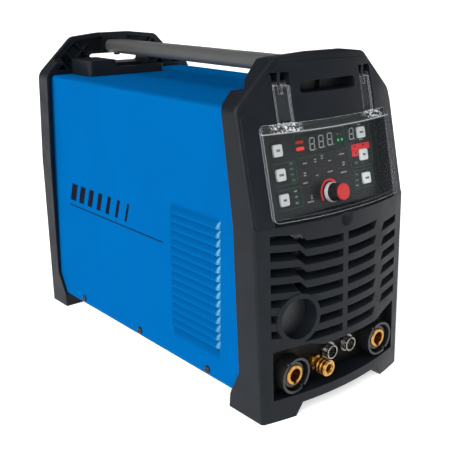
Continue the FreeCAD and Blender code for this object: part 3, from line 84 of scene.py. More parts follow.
# ---- node materials ---------------------------------------------------------------------
class Finish:
    """One node material.  Its methods add nodes and hand back the socket to link on."""

    def __init__(self, name, colour, rough, metallic=0.0, specular=0.5):
        self.material = bpy.data.materials.new(name)
        self.material.use_nodes = True
        self.tree = self.material.node_tree
        self.shader = self.tree.nodes["Principled BSDF"]
        self.out = self.tree.nodes["Material Output"]
        self.colour = self.value_socket("RGB", (*colour, 1.0))
        self.set("Roughness", rough)
        self.set("Metallic", metallic)
        self.set("Specular IOR Level", specular)
        self.place = self.node("TexCoord").outputs["Object"]
        self.height = None
        self.normal = None
        self.material.diffuse_color = (*colour, 1.0)

    def set(self, name, value):
        self.shader.inputs[name].default_value = value

    def link(self, source, target):
        self.tree.links.new(source, target)

    def node(self, kind, **settings):
        made = self.tree.nodes.new("ShaderNode" + kind)
        for key, value in settings.items():
            setattr(made, key, value)
        return made

    def value_socket(self, kind, value):
        made = self.node(kind)
        made.outputs[0].default_value = value
        return made.outputs[0]

    def feed(self, target, value):
        """Links a socket or sets a plain value."""
        if isinstance(value, bpy.types.NodeSocket):
            self.link(value, target)
        else:
            target.default_value = value

    def stretched(self, x, y, z):
        made = self.node("Mapping")
        self.link(self.place, made.inputs["Vector"])
        made.inputs["Scale"].default_value = (x, y, z)
        return made.outputs["Vector"]

    def noise(self, size_mm, detail=3.0, place=None):
        """Noise whose lumps are about size_mm across."""
        made = self.node("TexNoise")
        made.inputs["Scale"].default_value = 1000.0 / size_mm
        made.inputs["Detail"].default_value = detail
        self.link(place or self.place, made.inputs["Vector"])
        return made.outputs["Fac"]

    def cells(self, size_mm, feature="F1", output="Distance"):
        made = self.node("TexVoronoi", feature=feature)
        made.inputs["Scale"].default_value = 1000.0 / size_mm
        self.link(self.place, made.inputs["Vector"])
        return made.outputs[output]

    def spread(self, fac, low, high, to_low=0.0, to_high=1.0):
        """Maps a range of a value onto another."""
        made = self.node("MapRange")
        self.link(fac, made.inputs["Value"])
        ends = {"From Min": low, "From Max": high, "To Min": to_low, "To Max": to_high}
        for name, value in ends.items():
            made.inputs[name].default_value = value
        return made.outputs["Result"]

    def maths(self, operation, a, b=0.0):
        made = self.node("Math", operation=operation)
        self.feed(made.inputs[0], a)
        self.feed(made.inputs[1], b)
        return made.outputs[0]

    def product(self, first, *others):
        """Multiplies sockets and numbers together."""
        for other in others:
            first = self.maths("MULTIPLY", first, other)
        return first

    def axes(self, vector):
        """The X, Y and Z of a vector, as three sockets by name."""
        made = self.node("SeparateXYZ")
        self.link(vector, made.inputs[0])
        return made.outputs

    def tint(self, fac, colour):
        """Mixes a colour in where fac is high."""
        made = self.node("Mix", data_type="RGBA")
        self.feed(made.inputs["Factor"], fac)
        self.link(self.colour, made.inputs["A"])
        made.inputs["B"].default_value = (*colour, 1.0)
        self.colour = made.outputs["Result"]
        return self

    def mottle(self, size_mm, amount, colour):
        """Soft patches of another colour."""
        patches = self.spread(self.noise(size_mm, 5.0), 0.42, 0.68, 0.0, amount)
        return self.tint(patches, colour)

    def polish(self, size_mm, low, high):
        """Roughness that wanders between two values."""
        wander = self.spread(self.noise(size_mm, 4.0), 0.35, 0.65, low, high)
        self.link(wander, self.shader.inputs["Roughness"])
        return self

    def raise_by(self, fac, depth_mm):
        """Adds a height in millimetres to the surface."""
        part = self.maths("MULTIPLY", fac, depth_mm)
        self.height = part if self.height is None else self.maths("ADD", self.height, part)
        return self

    def rounded_normal(self, radius_mm, samples):
        """The normal as it would be with rounded edges."""
        bevel = self.node("Bevel", samples=samples)
        bevel.inputs["Radius"].default_value = radius_mm * MM
        return bevel.outputs["Normal"]

    def turn_of(self, normal):
        """1 where a normal is the surface's own, less where it is bent."""
        turn = self.node("VectorMath", operation="DOT_PRODUCT")
        self.link(normal, turn.inputs[0])
        self.link(self.node("NewGeometry").outputs["Normal"], turn.inputs[1])
        return turn.outputs["Value"]

    def soften(self, radius_mm, wear=0.0, worn=(0.3, 0.3, 0.3)):
        """Rounds sharp edges in the shading and lets them wear to another colour."""
        self.normal = self.rounded_normal(radius_mm, 4)
        if wear:
            edge = self.spread(self.turn_of(self.normal), 0.99, 0.86)
            broken = self.spread(self.noise(2.5, 4.0), 0.4, 0.6)
            self.tint(self.product(edge, broken, wear), worn)
        return self

    def done(self):
        self.link(self.colour, self.shader.inputs["Base Color"])
        if self.height is not None:
            bump = self.node("Bump")
            bump.inputs["Distance"].default_value = MM
            bump.inputs["Strength"].default_value = 1.0
            self.link(self.height, bump.inputs["Height"])
            if self.normal is not None:
                self.link(self.normal, bump.inputs["Normal"])
            self.link(bump.outputs["Normal"], self.shader.inputs["Normal"])
        elif self.normal is not None:
            self.link(self.normal, self.shader.inputs["Normal"])
        return self.material


def moulded(
    name, colour, rough, grain_mm=0.7, depth_mm=0.03, edge_mm=0.5, wear=0.35, specular=0.5
):
    """Moulded plastic: fine eroded grain, uneven gloss and edges polished by handling."""
    lighter = tuple(c * 2.2 + 0.006 for c in colour)
    finish = Finish(name, colour, rough, specular=specular)
    finish.mottle(38.0, 0.5, tuple(c * 1.5 for c in colour))
    finish.polish(22.0, rough - 0.07, rough + 0.07)
    finish.raise_by(finish.cells(grain_mm), depth_mm)
    finish.raise_by(finish.noise(grain_mm * 0.6), depth_mm)
    return finish.soften(edge_mm, wear, lighter).done()


PAINTED_GLINT_BLUE = (0.02, 0.3, 0.46)     # painted highlight: light blue painted on the front ends of the louvres, where their glint falls


def painted(
    name, colour, rough, peel_mm=1.6, depth_mm=0.012, edge_mm=0.5, wear=0.2, specular=0.5, glint=0.0
):
    """Powder coat: orange peel, tone changes, brighter edges and, if asked, glossier louvre ends with a
    painted highlight and painted shade on faces that lean upwards.
    """
    lighter = tuple(min(1.0, c * 1.5 + 0.01) for c in colour)
    finish = Finish(name, colour, rough, specular=specular)
    if glint:
        # Painted light for the louvres: front-facing ends get more gloss and a painted highlight
        # colour, and faces leaning upwards get a painted shade.
        axes = finish.axes(finish.node("TexCoord").outputs["Normal"])
        facing = finish.spread(axes["Y"], -0.12, -0.5)
        finish.link(finish.product(facing, glint), finish.shader.inputs["Specular IOR Level"])
        # Painted shade: faces that lean upwards, but not the flat top, are darkened.
        upturn_shade = finish.spread(axes["Z"], 0.1, 0.3, 0.0, 0.5)
        level = finish.spread(axes["Z"], 0.95, 0.85)
        finish.tint(finish.product(upturn_shade, level), tuple(c * 0.6 for c in colour))
        # Painted highlight on the front-facing louvre ends.
        finish.tint(finish.product(facing, 0.7), PAINTED_GLINT_BLUE)
    finish.mottle(60.0, 0.4, tuple(c * 0.86 for c in colour))
    finish.mottle(1.0, 0.12, lighter)
    finish.polish(30.0, rough - 0.05, rough + 0.05)
    finish.raise_by(finish.noise(peel_mm, 2.0), depth_mm)
    return finish.soften(edge_mm, wear, lighter).done()


WAVE_SCALE = 314.0                 # wave texture scale for bands 1 mm apart


def turned(name, colour, rough, stain=(0.1, 0.05, 0.02)):
    """Machined metal: fine turning rings, uneven tarnish and bright edges."""
    bright = tuple(min(1.0, c * 1.35 + 0.05) for c in colour)
    finish = Finish(name, colour, rough, metallic=1.0)
    finish.mottle(4.0, 0.5, stain)
    finish.polish(3.0, rough - 0.08, rough + 0.12)
    rings = finish.node("TexWave", wave_type="BANDS", bands_direction="Y")
    rings.inputs["Scale"].default_value = WAVE_SCALE / 0.5
    rings.inputs["Distortion"].default_value = 0.4
    finish.link(finish.place, rings.inputs["Vector"])
    finish.raise_by(rings.outputs["Fac"], 0.012)
    return finish.soften(0.3, 0.8, bright).done()


def brushed(name, colour, rough, spangle_mm=0.0, stretch=14):
    """Sheet or drawn metal with long fine scratches, and zinc spangle where it is galvanised."""
    finish = Finish(name, colour, rough, metallic=1.0)
    scratch = finish.noise(0.5, 3.0, finish.stretched(1.0, 1.0 / stretch, 1.0))
    finish.mottle(25.0, 0.3, tuple(c * 0.55 for c in colour))
    if spangle_mm:
        crystals = finish.spread(finish.cells(spangle_mm, output="Color"), 0.0, 1.0, 0.0, 0.35)
        finish.tint(crystals, (0.75, 0.78, 0.8))
    streaks = finish.spread(scratch, 0.3, 0.7, rough - 0.1, rough + 0.15)
    finish.link(streaks, finish.shader.inputs["Roughness"])
    finish.raise_by(scratch, 0.01)
    return finish.soften(0.3, 0.5, (0.8, 0.8, 0.8)).done()


FROST_Z = (0.2805, 0.2885)     # the whitened band along the top of the clear cover, frosted with painted sparkle; a painted highlight runs along its lower edge, in metres
FROST_X = (0.047, 0.078)       # where the band is whitest, either side of the middle
ARM_Z = 0.2895                 # height where the cover's arms begin; above it they are slightly whitened as painted light


def frost_and_painted_light(finish):
    """Whiteness along the top of the clear cover: a frosted band with painted sparkle highlights, a
    painted highlight along its fold and painted light on its arms.
    """
    axes = finish.axes(finish.place)
    height = axes["Z"]
    low = finish.spread(height, FROST_Z[0] - 0.0005, FROST_Z[0] + 0.0005)
    high = finish.spread(height, FROST_Z[1], FROST_Z[1] - 0.0005)
    side = finish.maths("ABSOLUTE", axes["X"])
    near = finish.spread(side, FROST_X[0] - 0.006, FROST_X[0] + 0.004, 0.12, 1.0)
    far = finish.spread(side, FROST_X[1] + 0.004, FROST_X[1] - 0.004, 0.1, 1.0)
    # Painted sparkle highlights in the frosted band.
    painted_sparkle = finish.spread(finish.noise(2.2, 4.0), 0.42, 0.62, 0.0, 0.85)
    fold = finish.maths("ABSOLUTE", finish.maths("SUBTRACT", height, FROST_Z[0]))
    # Painted highlight along the fold.
    line = finish.spread(fold, 0.0009, 0.0003, 0.0, 0.55)
    frost_and_sparkle = finish.product(low, high, near, far, painted_sparkle)
    # Painted light on the arms' lit faces.
    arms = finish.spread(height, ARM_Z - 0.0005, ARM_Z + 0.0005, 0.0, 0.1)
    return finish.maths("MAXIMUM", finish.maths("MAXIMUM", frost_and_sparkle, line), arms)


def clear(name, colour, light_and_frost_colour):
    """Thin clear plastic: see-through face on, mirror-like at a slant, faint scuffs, with painted
    highlights on its rims and a painted sheen on its side walls.
    """
    finish = Finish(name, colour, 0.04)
    finish.polish(12.0, 0.04, 0.09)
    finish.raise_by(finish.noise(30.0, 2.0), 0.03)
    scratch = finish.noise(0.6, 3.0, finish.stretched(1.0, 0.3, 0.06))
    scuffs = finish.spread(scratch, 0.62, 0.75, 0.0, 0.03)
    geometry = finish.node("NewGeometry")
    layer = finish.node("LayerWeight")
    layer.inputs["Blend"].default_value = 0.28
    slant = finish.spread(layer.outputs["Fresnel"], 0.0, 1.0, 0.0, 0.9)
    # Painted highlight: rims whitened where the rounded normal bends away from the surface's own.
    edge = finish.spread(finish.turn_of(finish.rounded_normal(0.7, 8)), 0.99, 0.8, 0.0, 0.9)
    # Painted sheen: walls that face sideways are whitened.
    sideways = finish.maths("ABSOLUTE", finish.axes(geometry.outputs["Normal"])["X"])
    wall_sheen = finish.spread(sideways, 0.6, 0.9, 0.0, 0.22)
    # white mixes the painted rim highlight, the painted wall sheen and the top band of frost and
    # painted light.
    white = finish.maths("MAXIMUM", finish.maths("MAXIMUM", edge, wall_sheen), frost_and_painted_light(finish))
    finish.tint(white, light_and_frost_colour)
    opaque = finish.maths("ADD", finish.maths("ADD", slant, scuffs), white)
    outward = finish.maths("SUBTRACT", 1.0, geometry.outputs["Backfacing"])
    see = finish.node("BsdfTransparent")
    see.inputs["Color"].default_value = (0.96, 0.965, 0.97, 1.0)
    mix = finish.node("MixShader")
    finish.link(finish.product(opaque, outward), mix.inputs[0])
    finish.link(see.outputs[0], mix.inputs[1])
    finish.link(finish.shader.outputs[0], mix.inputs[2])
    finish.link(mix.outputs[0], finish.out.inputs["Surface"])
    return finish.done()


def board(name):
    """Circuit board: green solder mask over faint copper tracks and pads."""
    finish = Finish(name, (0.012, 0.12, 0.05), 0.35)
    tracks = finish.cells(4.0, feature="DISTANCE_TO_EDGE")
    finish.tint(finish.spread(tracks, 0.05, 0.03, 0.0, 0.7), (0.03, 0.22, 0.08))
    finish.tint(finish.spread(finish.cells(3.1), 0.16, 0.12), (0.6, 0.6, 0.55))
    finish.raise_by(finish.spread(tracks, 0.05, 0.03), 0.03)
    return finish.done()


def wound(name, colour, rough):
    """Tape or wire wound in even turns."""
    finish = Finish(name, colour, rough)
    turns = finish.node("TexWave", wave_type="BANDS", bands_direction="Z")
    turns.inputs["Scale"].default_value = WAVE_SCALE / 1.6
    turns.inputs["Distortion"].default_value = 1.0
    finish.link(finish.place, turns.inputs["Vector"])
    finish.tint(finish.spread(turns.outputs["Fac"], 0.3, 0.0, 0.0, 0.7), tuple(c * 0.3 for c in colour))
    finish.mottle(6.0, 0.4, tuple(c * 0.6 for c in colour))
    finish.raise_by(turns.outputs["Fac"], 0.25)
    return finish.done()


def glowing(name, colour, strength):
    finish = Finish(name, colour, 0.3)
    finish.mottle(2.0, 0.3, tuple(c * 0.7 for c in colour))
    finish.link(finish.colour, finish.shader.inputs["Emission Color"])
    finish.set("Emission Strength", strength)
    finish.raise_by(finish.noise(0.4), 0.02)
    return finish.done()


# The louvres in this paint carry a painted highlight on their front ends and painted shade on upturned
# faces.
PAINT = painted("blue_paint", (0.0, 0.093, 0.294), 0.3, specular=0.0, glint=0.7)
GRAPHIC_BLACK = moulded(
    "graphic_black", (0.002, 0.004, 0.012), 0.5, grain_mm=0.5, depth_mm=0.01, wear=0.0, specular=0.02
)
FINISHES = {
    "bezel_plastic": moulded(
        "bezel_plastic",
        (0.0054, 0.0072, 0.0098),
        0.42,
        grain_mm=0.8,
        edge_mm=0.8,
        wear=0.6,
        specular=0.16,
    ),
    "blue_paint": PAINT,
    "galvanised_steel": brushed("galvanised_steel", (0.42, 0.43, 0.44), 0.42, spangle_mm=9.0),
    "black_sheet": painted("black_sheet", (0.012, 0.012, 0.014), 0.45, peel_mm=0.9, depth_mm=0.02),
    "socket_plate_black": moulded(
        "socket_plate_black", (0.0015, 0.0015, 0.0018), 0.5, wear=0.1, specular=0.15
    ),
    "blank_plastic": moulded("blank_plastic", (0.008, 0.0085, 0.011), 0.42, grain_mm=0.5),
    "handle_grey": painted(
        "handle_grey", (0.062, 0.063, 0.06), 0.4, peel_mm=0.8, depth_mm=0.02, wear=0.4
    ),
    "screw_black": brushed("screw_black", (0.045, 0.045, 0.05), 0.35),
    # The third colour is the white of the painted highlights, the painted sheen and the frost.
    "clear_plastic": clear("clear_plastic", (0.1, 0.11, 0.12), (0.8, 0.83, 0.85)),
    "steel_bright": brushed("steel_bright", (0.5, 0.5, 0.52), 0.25),
    "fascia_print": moulded(
        "fascia_print", (0.006, 0.0075, 0.0075), 0.38, grain_mm=0.4, depth_mm=0.012, edge_mm=0.2
    ),
    "display_glass": moulded(
        "display_glass", (0.004, 0.006, 0.0045), 0.16, grain_mm=3.0, depth_mm=0.004
    ),
    "knob_black": moulded("knob_black", (0.008, 0.008, 0.008), 0.4, grain_mm=0.35),
    "knob_red": moulded("knob_red", (0.5, 0.016, 0.018), 0.38, grain_mm=0.5, depth_mm=0.015),
    "circuit_board": board("circuit_board"),
    "brass": turned("brass", (0.62, 0.36, 0.09), 0.3),
    "brass_ringed": turned("brass_ringed", (0.62, 0.36, 0.11), 0.26),
    "fan_plastic": moulded("fan_plastic", (0.009, 0.009, 0.0095), 0.42),
    "switch_black": moulded(
        "switch_black", (0.008, 0.008, 0.008), 0.3, grain_mm=0.4, depth_mm=0.01
    ),
    "switch_red": moulded("switch_red", (0.32, 0.008, 0.006), 0.26, grain_mm=0.6, depth_mm=0.01),
    "gland_nylon": moulded("gland_nylon", (0.01, 0.01, 0.011), 0.5, grain_mm=0.5),
    "hose_rubber": moulded("hose_rubber", (0.009, 0.009, 0.009), 0.6, grain_mm=0.5),
    "heatsink_aluminium": brushed("heatsink_aluminium", (0.6, 0.61, 0.63), 0.3, stretch=30),
    "module_plastic": moulded("module_plastic", (0.45, 0.42, 0.34), 0.45),
    "capacitor_sleeve": moulded(
        "capacitor_sleeve", (0.012, 0.03, 0.1), 0.25, grain_mm=2.0, depth_mm=0.01
    ),
    "ferrite": moulded("ferrite", (0.04, 0.04, 0.042), 0.55, grain_mm=0.3, depth_mm=0.04),
    "winding_tape": wound("winding_tape", (0.42, 0.22, 0.03), 0.4),
    "copper": turned("copper", (0.65, 0.24, 0.12), 0.3),
    "ribbon_grey": wound("ribbon_grey", (0.3, 0.3, 0.3), 0.45),
    "socket_plastic": moulded(
        "socket_plastic", (0.006, 0.006, 0.0065), 0.34, grain_mm=0.4, depth_mm=0.015
    ),
    "socket_brass": turned("socket_brass", (0.6, 0.31, 0.07), 0.28, stain=(0.2, 0.07, 0.03)),
    "socket_nickel": turned("socket_nickel", (0.3, 0.29, 0.27), 0.22),
    "socket_insulator": moulded("socket_insulator", (0.008, 0.008, 0.009), 0.4),
    "button_white": moulded(
        "button_white", (0.62, 0.63, 0.62), 0.4, grain_mm=0.6, depth_mm=0.01, wear=0.0
    ),
}


def dress_cad_nodes():
    for part in frame["record"]["subparts"]:
        node = frame["nodes"][part["node"]]
        node.data.materials.clear()
        node.data.materials.append(FINISHES[part["material_slot"]])


dress_cad_nodes()


# ---- mesh helpers -----------------------------------------------------------------------
def add_piece(name, form, material, body, sharp=35.0):
    """Turns a bmesh into a shaded piece that rides on a CAD body."""
    bmesh.ops.remove_doubles(form, verts=form.verts, dist=1e-6)
    bmesh.ops.recalc_face_normals(form, faces=form.faces)
    mesh = bpy.data.meshes.new(name)
    form.to_mesh(mesh)
    form.free()
    mesh.shade_smooth()
    mesh.set_sharp_from_angle(angle=math.radians(sharp))
    mesh.materials.append(material)
    piece = bpy.data.objects.new(name, mesh)
    bpy.context.scene.collection.objects.link(piece)
    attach(piece, body)
    return piece


def extrude_outline(form, outline, place, low, high):
    """Closed prism from a flat outline; place(u, v, n) gives the point in the machine's frame."""
    rings = [[form.verts.new(place(u, v, n)) for u, v in outline] for n in (low, high)]
    count = len(outline)
    for i in range(count):
        j = (i + 1) % count
        form.faces.new((rings[0][i], rings[0][j], rings[1][j], rings[1][i]))
    form.faces.new(rings[1])
    form.faces.new(list(reversed(rings[0])))


def rounded(u0, u1, v0, v1, radius, steps=4):
    """Outline of a rectangle with rounded corners."""
    points = []
    corners = ((u1, v1, 0), (u0, v1, 90), (u0, v0, 180), (u1, v0, 270))
    for u, v, start in corners:
        cu = u - radius if u == u1 else u + radius
        cv = v - radius if v == v1 else v + radius
        for i in range(steps + 1):
            turn = math.radians(start + 90 * i / steps)
            points.append((cu + radius * math.cos(turn), cv + radius * math.sin(turn)))
    return points


def lathe(form, profile, place, steps=48):
    """Revolves a closed profile of (radius, n) round the axis of place(u, v, n)."""
    rings = []
    for i in range(steps):
        turn = 2 * math.pi * i / steps
        across, up = math.cos(turn), math.sin(turn)
        rings.append([form.verts.new(place(r * across, r * up, n)) for r, n in profile])
    for i in range(steps):
        a, b = rings[i], rings[(i + 1) % steps]
        for j in range(len(profile)):
            k = (j + 1) % len(profile)
            form.faces.new((a[j], b[j], b[k], a[k]))


# ---- side cover with pressed louvres ----------------------------------------------------
CORNER_Y = -203.8         # depth of the front bottom corners of the casing, mm
COVER_HALF_W = 100.0
COVER_BEND_R = 3.0
SHEET_T = 1.2
COVER_FRONT = ((18.5, 26.0), (196.0, 32.0), (303.0, 54.0))   # z, depth of the front edge
COVER_REAR = 402.0
LOUVRE_COUNT = 15
LOUVRE_PITCH = 9.06
LOUVRE_Z0 = 60.5
LOUVRE_FRONT = 68.0
LOUVRE_REAR = 148.0
LOUVRE_OUT = 3.4
LOUVRE_UP = 4.2
LOUVRE_DOWN = 4.2
LOUVRE_END = 5.0          # length of the domed end of a louvre
LOUVRE_CURVE = 0.8        # power that fills out a louvre's section
RIM = 0.6                 # narrow strip of the mesh along each cut edge
PLAIN_DEPTHS = (200.0, 300.0)   # mesh columns behind the louvres
PLAIN_HEIGHTS = (196.0, 250.0)  # mesh rows above them


def front_edge_depth(z):
    """Depth of the cover's front edge at a height."""
    (z0, d0), (z1, d1), (z2, d2) = COVER_FRONT
    if z < z1:
        return d0 + (d1 - d0) * (z - z0) / (z1 - z0)
    return d1 + (d2 - d1) * (min(z, z2) - z1) / (z2 - z1)


def louvre_columns():
    """Depths of the grid columns and how far the louvre stands up at each, 0 to 1."""
    steps = 6
    columns = [(LOUVRE_FRONT - 0.5, 0.0)]
    for i in range(steps + 1):
        s = 1 - math.cos(math.pi / 2 * i / steps)
        columns.append((LOUVRE_FRONT + s * LOUVRE_END, math.sqrt(max(0.0, 1 - (1 - s) ** 2))))
    middle = 6
    span = LOUVRE_REAR - LOUVRE_FRONT - 2 * LOUVRE_END
    for i in range(1, middle):
        columns.append((LOUVRE_FRONT + LOUVRE_END + span * i / middle, 1.0))
    for depth, share in reversed(columns[: steps + 2]):
        columns.append((LOUVRE_FRONT + LOUVRE_REAR - depth, share))
    return columns


def cover_rows():
    """Rows of one side from the bottom: (z, height share, True if joined to the row below)."""
    foot = COVER_FRONT[0][0]
    rows = [(foot, 0.0, True), (foot + RIM, 0.0, True), (40.0, 0.0, True)]
    steps = 5
    for i in range(LOUVRE_COUNT):
        z = LOUVRE_Z0 + LOUVRE_PITCH * i
        rows.append((z - LOUVRE_DOWN, 0.0, True))
        for j in range(steps + 1):
            t = j / steps
            height = z - LOUVRE_DOWN + (LOUVRE_UP + LOUVRE_DOWN) * t
            rows.append((height, math.cos(math.pi / 2 * t) ** LOUVRE_CURVE, j > 0))
    for z in (*PLAIN_HEIGHTS, COVER_FRONT[2][0] - COVER_BEND_R):
        rows.append((z, 0.0, True))
    return rows


def cover_section():
    """The bent sheet's section: (x, z, height share, joined) from the left foot over the top."""
    half = COVER_HALF_W
    left = [(-half, z, share, joined) for z, share, joined in cover_rows()]
    bend = []
    steps = 5
    for i in range(1, steps + 1):
        turn = math.pi / 2 * i / steps
        x = half - COVER_BEND_R + COVER_BEND_R * math.cos(turn)
        z = COVER_FRONT[2][0] - COVER_BEND_R + COVER_BEND_R * math.sin(turn)
        bend.append((-x, z, 0.0, True))
    top = [(x, COVER_FRONT[2][0], 0.0, True) for x in (-50.0, 0.0, 50.0)]
    joined_above = [True] + [joined for _, _, _, joined in reversed(left)]
    right = [(-x, z, share, above) for (x, z, share, _), above in zip(reversed(left), joined_above)]
    right_bend = [(-x, z, 0.0, True) for x, z, _, _ in reversed(bend)]
    return left + bend + top + right_bend + right


def build_side_cover():
    form = bmesh.new()
    columns = louvre_columns()
    previous = None
    for x, z, share, joined in cover_section():
        side = 0.0 if abs(x) < COVER_HALF_W - 1e-6 else math.copysign(1.0, x)
        front = (x, CORNER_Y + front_edge_depth(z), z)
        row = [front, (x, front[1] + RIM, z), (x, CORNER_Y + 62.0, z)]
        row += [(x + side * LOUVRE_OUT * share * end, CORNER_Y + depth, z) for depth, end in columns]
        row += [(x, CORNER_Y + depth, z) for depth in (*PLAIN_DEPTHS, COVER_REAR - RIM, COVER_REAR)]
        verts = [form.verts.new(Vector(p) * MM) for p in row]
        if previous and joined:
            for i in range(len(verts) - 1):
                form.faces.new((previous[i], previous[i + 1], verts[i + 1], verts[i]))
        previous = verts
    piece = add_piece("side_cover_sheet", form, PAINT, "casing", sharp=50)
    thick = piece.modifiers.new("sheet", "SOLIDIFY")
    thick.thickness = SHEET_T * MM
    thick.offset = -1.0
    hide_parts("side_cover")


build_side_cover()


# ---- side graphic: a plain rule with slanted bars, both sides ---------------------------
GRAPHIC_RULE = (163.0, 361.0, 146.0, 1.3)       # depth range, z, width
GRAPHIC_BARS = (352.0, 235.0, 7)                # first and last depth, count
GRAPHIC_BAR_Z = (152.0, 174.0)
GRAPHIC_BAR_HALF = 6.5                          # half width of the first bar
GRAPHIC_TAPER = 0.11                            # each bar is narrower than the first by this share
GRAPHIC_SLANT = 7.0
INK_SINK = 0.05
INK_PROUD = 0.08


def build_side_graphics():
    for name, side in (("left", -1), ("right", 1)):
        form = bmesh.new()

        def place(depth, z, n):
            return Vector((side * (COVER_HALF_W + n), CORNER_Y + depth, z)) * MM

        near, far, z, width = GRAPHIC_RULE
        extrude_outline(form, rounded(near, far, z - width, z, 0.5), place, -INK_SINK, INK_PROUD)
        first, last, count = GRAPHIC_BARS
        z0, z1 = GRAPHIC_BAR_Z
        for i in range(count):
            depth = first + (last - first) * i / (count - 1)
            half = GRAPHIC_BAR_HALF * (1 - GRAPHIC_TAPER * i)
            top = depth + side * GRAPHIC_SLANT
            outline = [(depth - half, z0), (depth + half, z0), (top + half, z1), (top - half, z1)]
            extrude_outline(form, outline, place, -INK_SINK, INK_PROUD)
        add_piece("side_graphic_" + name, form, GRAPHIC_BLACK, "casing")


build_side_graphics()


# ---- control panel print and lights -----------------------------------------------------
PANEL_LEAN = math.atan(0.238)
PANEL_FOOT = (CORNER_Y + 18.0, 196.0)      # y and z of the panel's lower edge line, mm
FILM = 0.08                                # print thickness, mm
BUTTONS = {
    "button_left_top": (-60.0, 66.5),
    "button_left_middle": (-60.0, 43.5),
    "button_left_bottom": (-60.0, 19.5),
    "button_right_top": (60.0, 69.5),
    "button_right_middle": (60.0, 46.5),
    "button_right_bottom": (60.0, 22.0),
}
LONG_MARKS = ("button_left_middle", "button_right_top", "button_right_bottom")
KNOB = (4.4, 16.4)
KEY_MARK = (2.15, 2.26)                    # bottom and top of a key's caption above the panel
LAMP_BAR = 0.35                            # how far a lamp bar stands out
LAMP_RADIUS = 1.35
LABEL_PITCH = 1.15                         # from one caption stroke to the next
LABEL_STROKE = 0.75                        # width of a caption stroke
LABEL_ROW = 2.3                            # from one caption row to the next
DIGIT_LEAN = 0.45                          # how far a digit's top leans right
DIGIT_GAP = 0.35                           # gap at each end of a digit's bar


def on_panel(x, v, n):
    """Point from x, height up the panel and height out of it, in mm."""
    y = PANEL_FOOT[0] + v * math.sin(PANEL_LEAN) - n * math.cos(PANEL_LEAN)
    z = PANEL_FOOT[1] + v * math.cos(PANEL_LEAN) + n * math.sin(PANEL_LEAN)
    return Vector((x, y, z)) * MM


class Print:
    """Flat printed shapes on the panel, all of one colour."""

    def __init__(self, low=-0.03, high=FILM):
        self.form = bmesh.new()
        self.low = low
        self.high = high

    def shape(self, outline):
        extrude_outline(self.form, outline, on_panel, self.low, self.high)

    def block(self, x0, x1, v0, v1, radius=0.0):
        if radius:
            self.shape(rounded(x0, x1, v0, v1, radius))
        else:
            self.shape([(x0, v0), (x1, v0), (x1, v1), (x0, v1)])

    def stroke(self, x0, v0, x1, v1, width):
        along = Vector((x1 - x0, v1 - v0)).normalized() * (width / 2)
        across = Vector((-along.y, along.x))
        a, b = Vector((x0, v0)) - along, Vector((x1, v1)) + along
        self.shape([tuple(a - across), tuple(b - across), tuple(b + across), tuple(a + across)])

    def frame(self, x0, x1, v0, v1, width, radius=1.2):
        outer = rounded(x0, x1, v0, v1, radius)
        inner = rounded(x0 + width, x1 - width, v0 + width, v1 - width, max(0.2, radius - width))
        for i in range(len(outer)):
            j = (i + 1) % len(outer)
            if (Vector(outer[i]) - Vector(outer[j])).length > 0.02:
                self.shape([outer[i], outer[j], inner[j], inner[i]])

    def arc(self, x, v, radius, start, end, width, steps=24):
        for i in range(steps):
            t0 = math.radians(start + (end - start) * i / steps)
            t1 = math.radians(start + (end - start) * (i + 1) / steps)
            r0, r1 = radius - width / 2, radius + width / 2
            corners = ((r0, t0), (r1, t0), (r1, t1), (r0, t1))
            self.shape([(x + r * math.cos(t), v + r * math.sin(t)) for r, t in corners])

    def disc(self, x, v, radius, steps=14):
        turns = [2 * math.pi * i / steps for i in range(steps)]
        self.shape([(x + radius * math.cos(t), v + radius * math.sin(t)) for t in turns])

    def label(self, x, v, count, rows=1):
        """A row of tiny strokes that stands for a printed caption."""
        for row in range(rows):
            for i in range(count):
                left = x + (i - count / 2) * LABEL_PITCH
                tall = 1.35 if (i + row) % 3 else 1.0
                middle = v - row * LABEL_ROW
                self.block(left, left + LABEL_STROKE, middle - tall / 2, middle + tall / 2)

    def add(self, name, material, slot, body="casing"):
        return add_piece(name, self.form, material, body)


def ink(name, colour, rough=0.4):
    return moulded(name, colour, rough, grain_mm=0.4, depth_mm=0.006, wear=0.0)


INK_GREEN = ink("ink_green", (0.01, 0.13, 0.06))
INK_WHITE = ink("ink_white", (0.42, 0.43, 0.42))
INK_GREY = ink("ink_grey", (0.05, 0.055, 0.055))
INK_RED = ink("ink_red", (0.66, 0.018, 0.022))
INK_DIM_RED = ink("ink_dim_red", (0.1, 0.018, 0.026))
SEGMENT = ink("display_segment", (0.30, 0.33, 0.31), 0.3)
LAMP_GREEN = glowing("lamp_green", (0.0, 0.4, 0.12), 0.8)
LAMP_GREEN_OFF = ink("lamp_green_off", (0.006, 0.11, 0.045), 0.25)
LAMP_RED = glowing("lamp_red", (0.7, 0.03, 0.02), 0.5)
LAMP_RED_DIM = glowing("lamp_red_dim", (0.35, 0.01, 0.01), 0.25)
KNOB_SILVER = moulded("knob_silver", (0.5, 0.51, 0.53), 0.3, grain_mm=0.5, depth_mm=0.005)


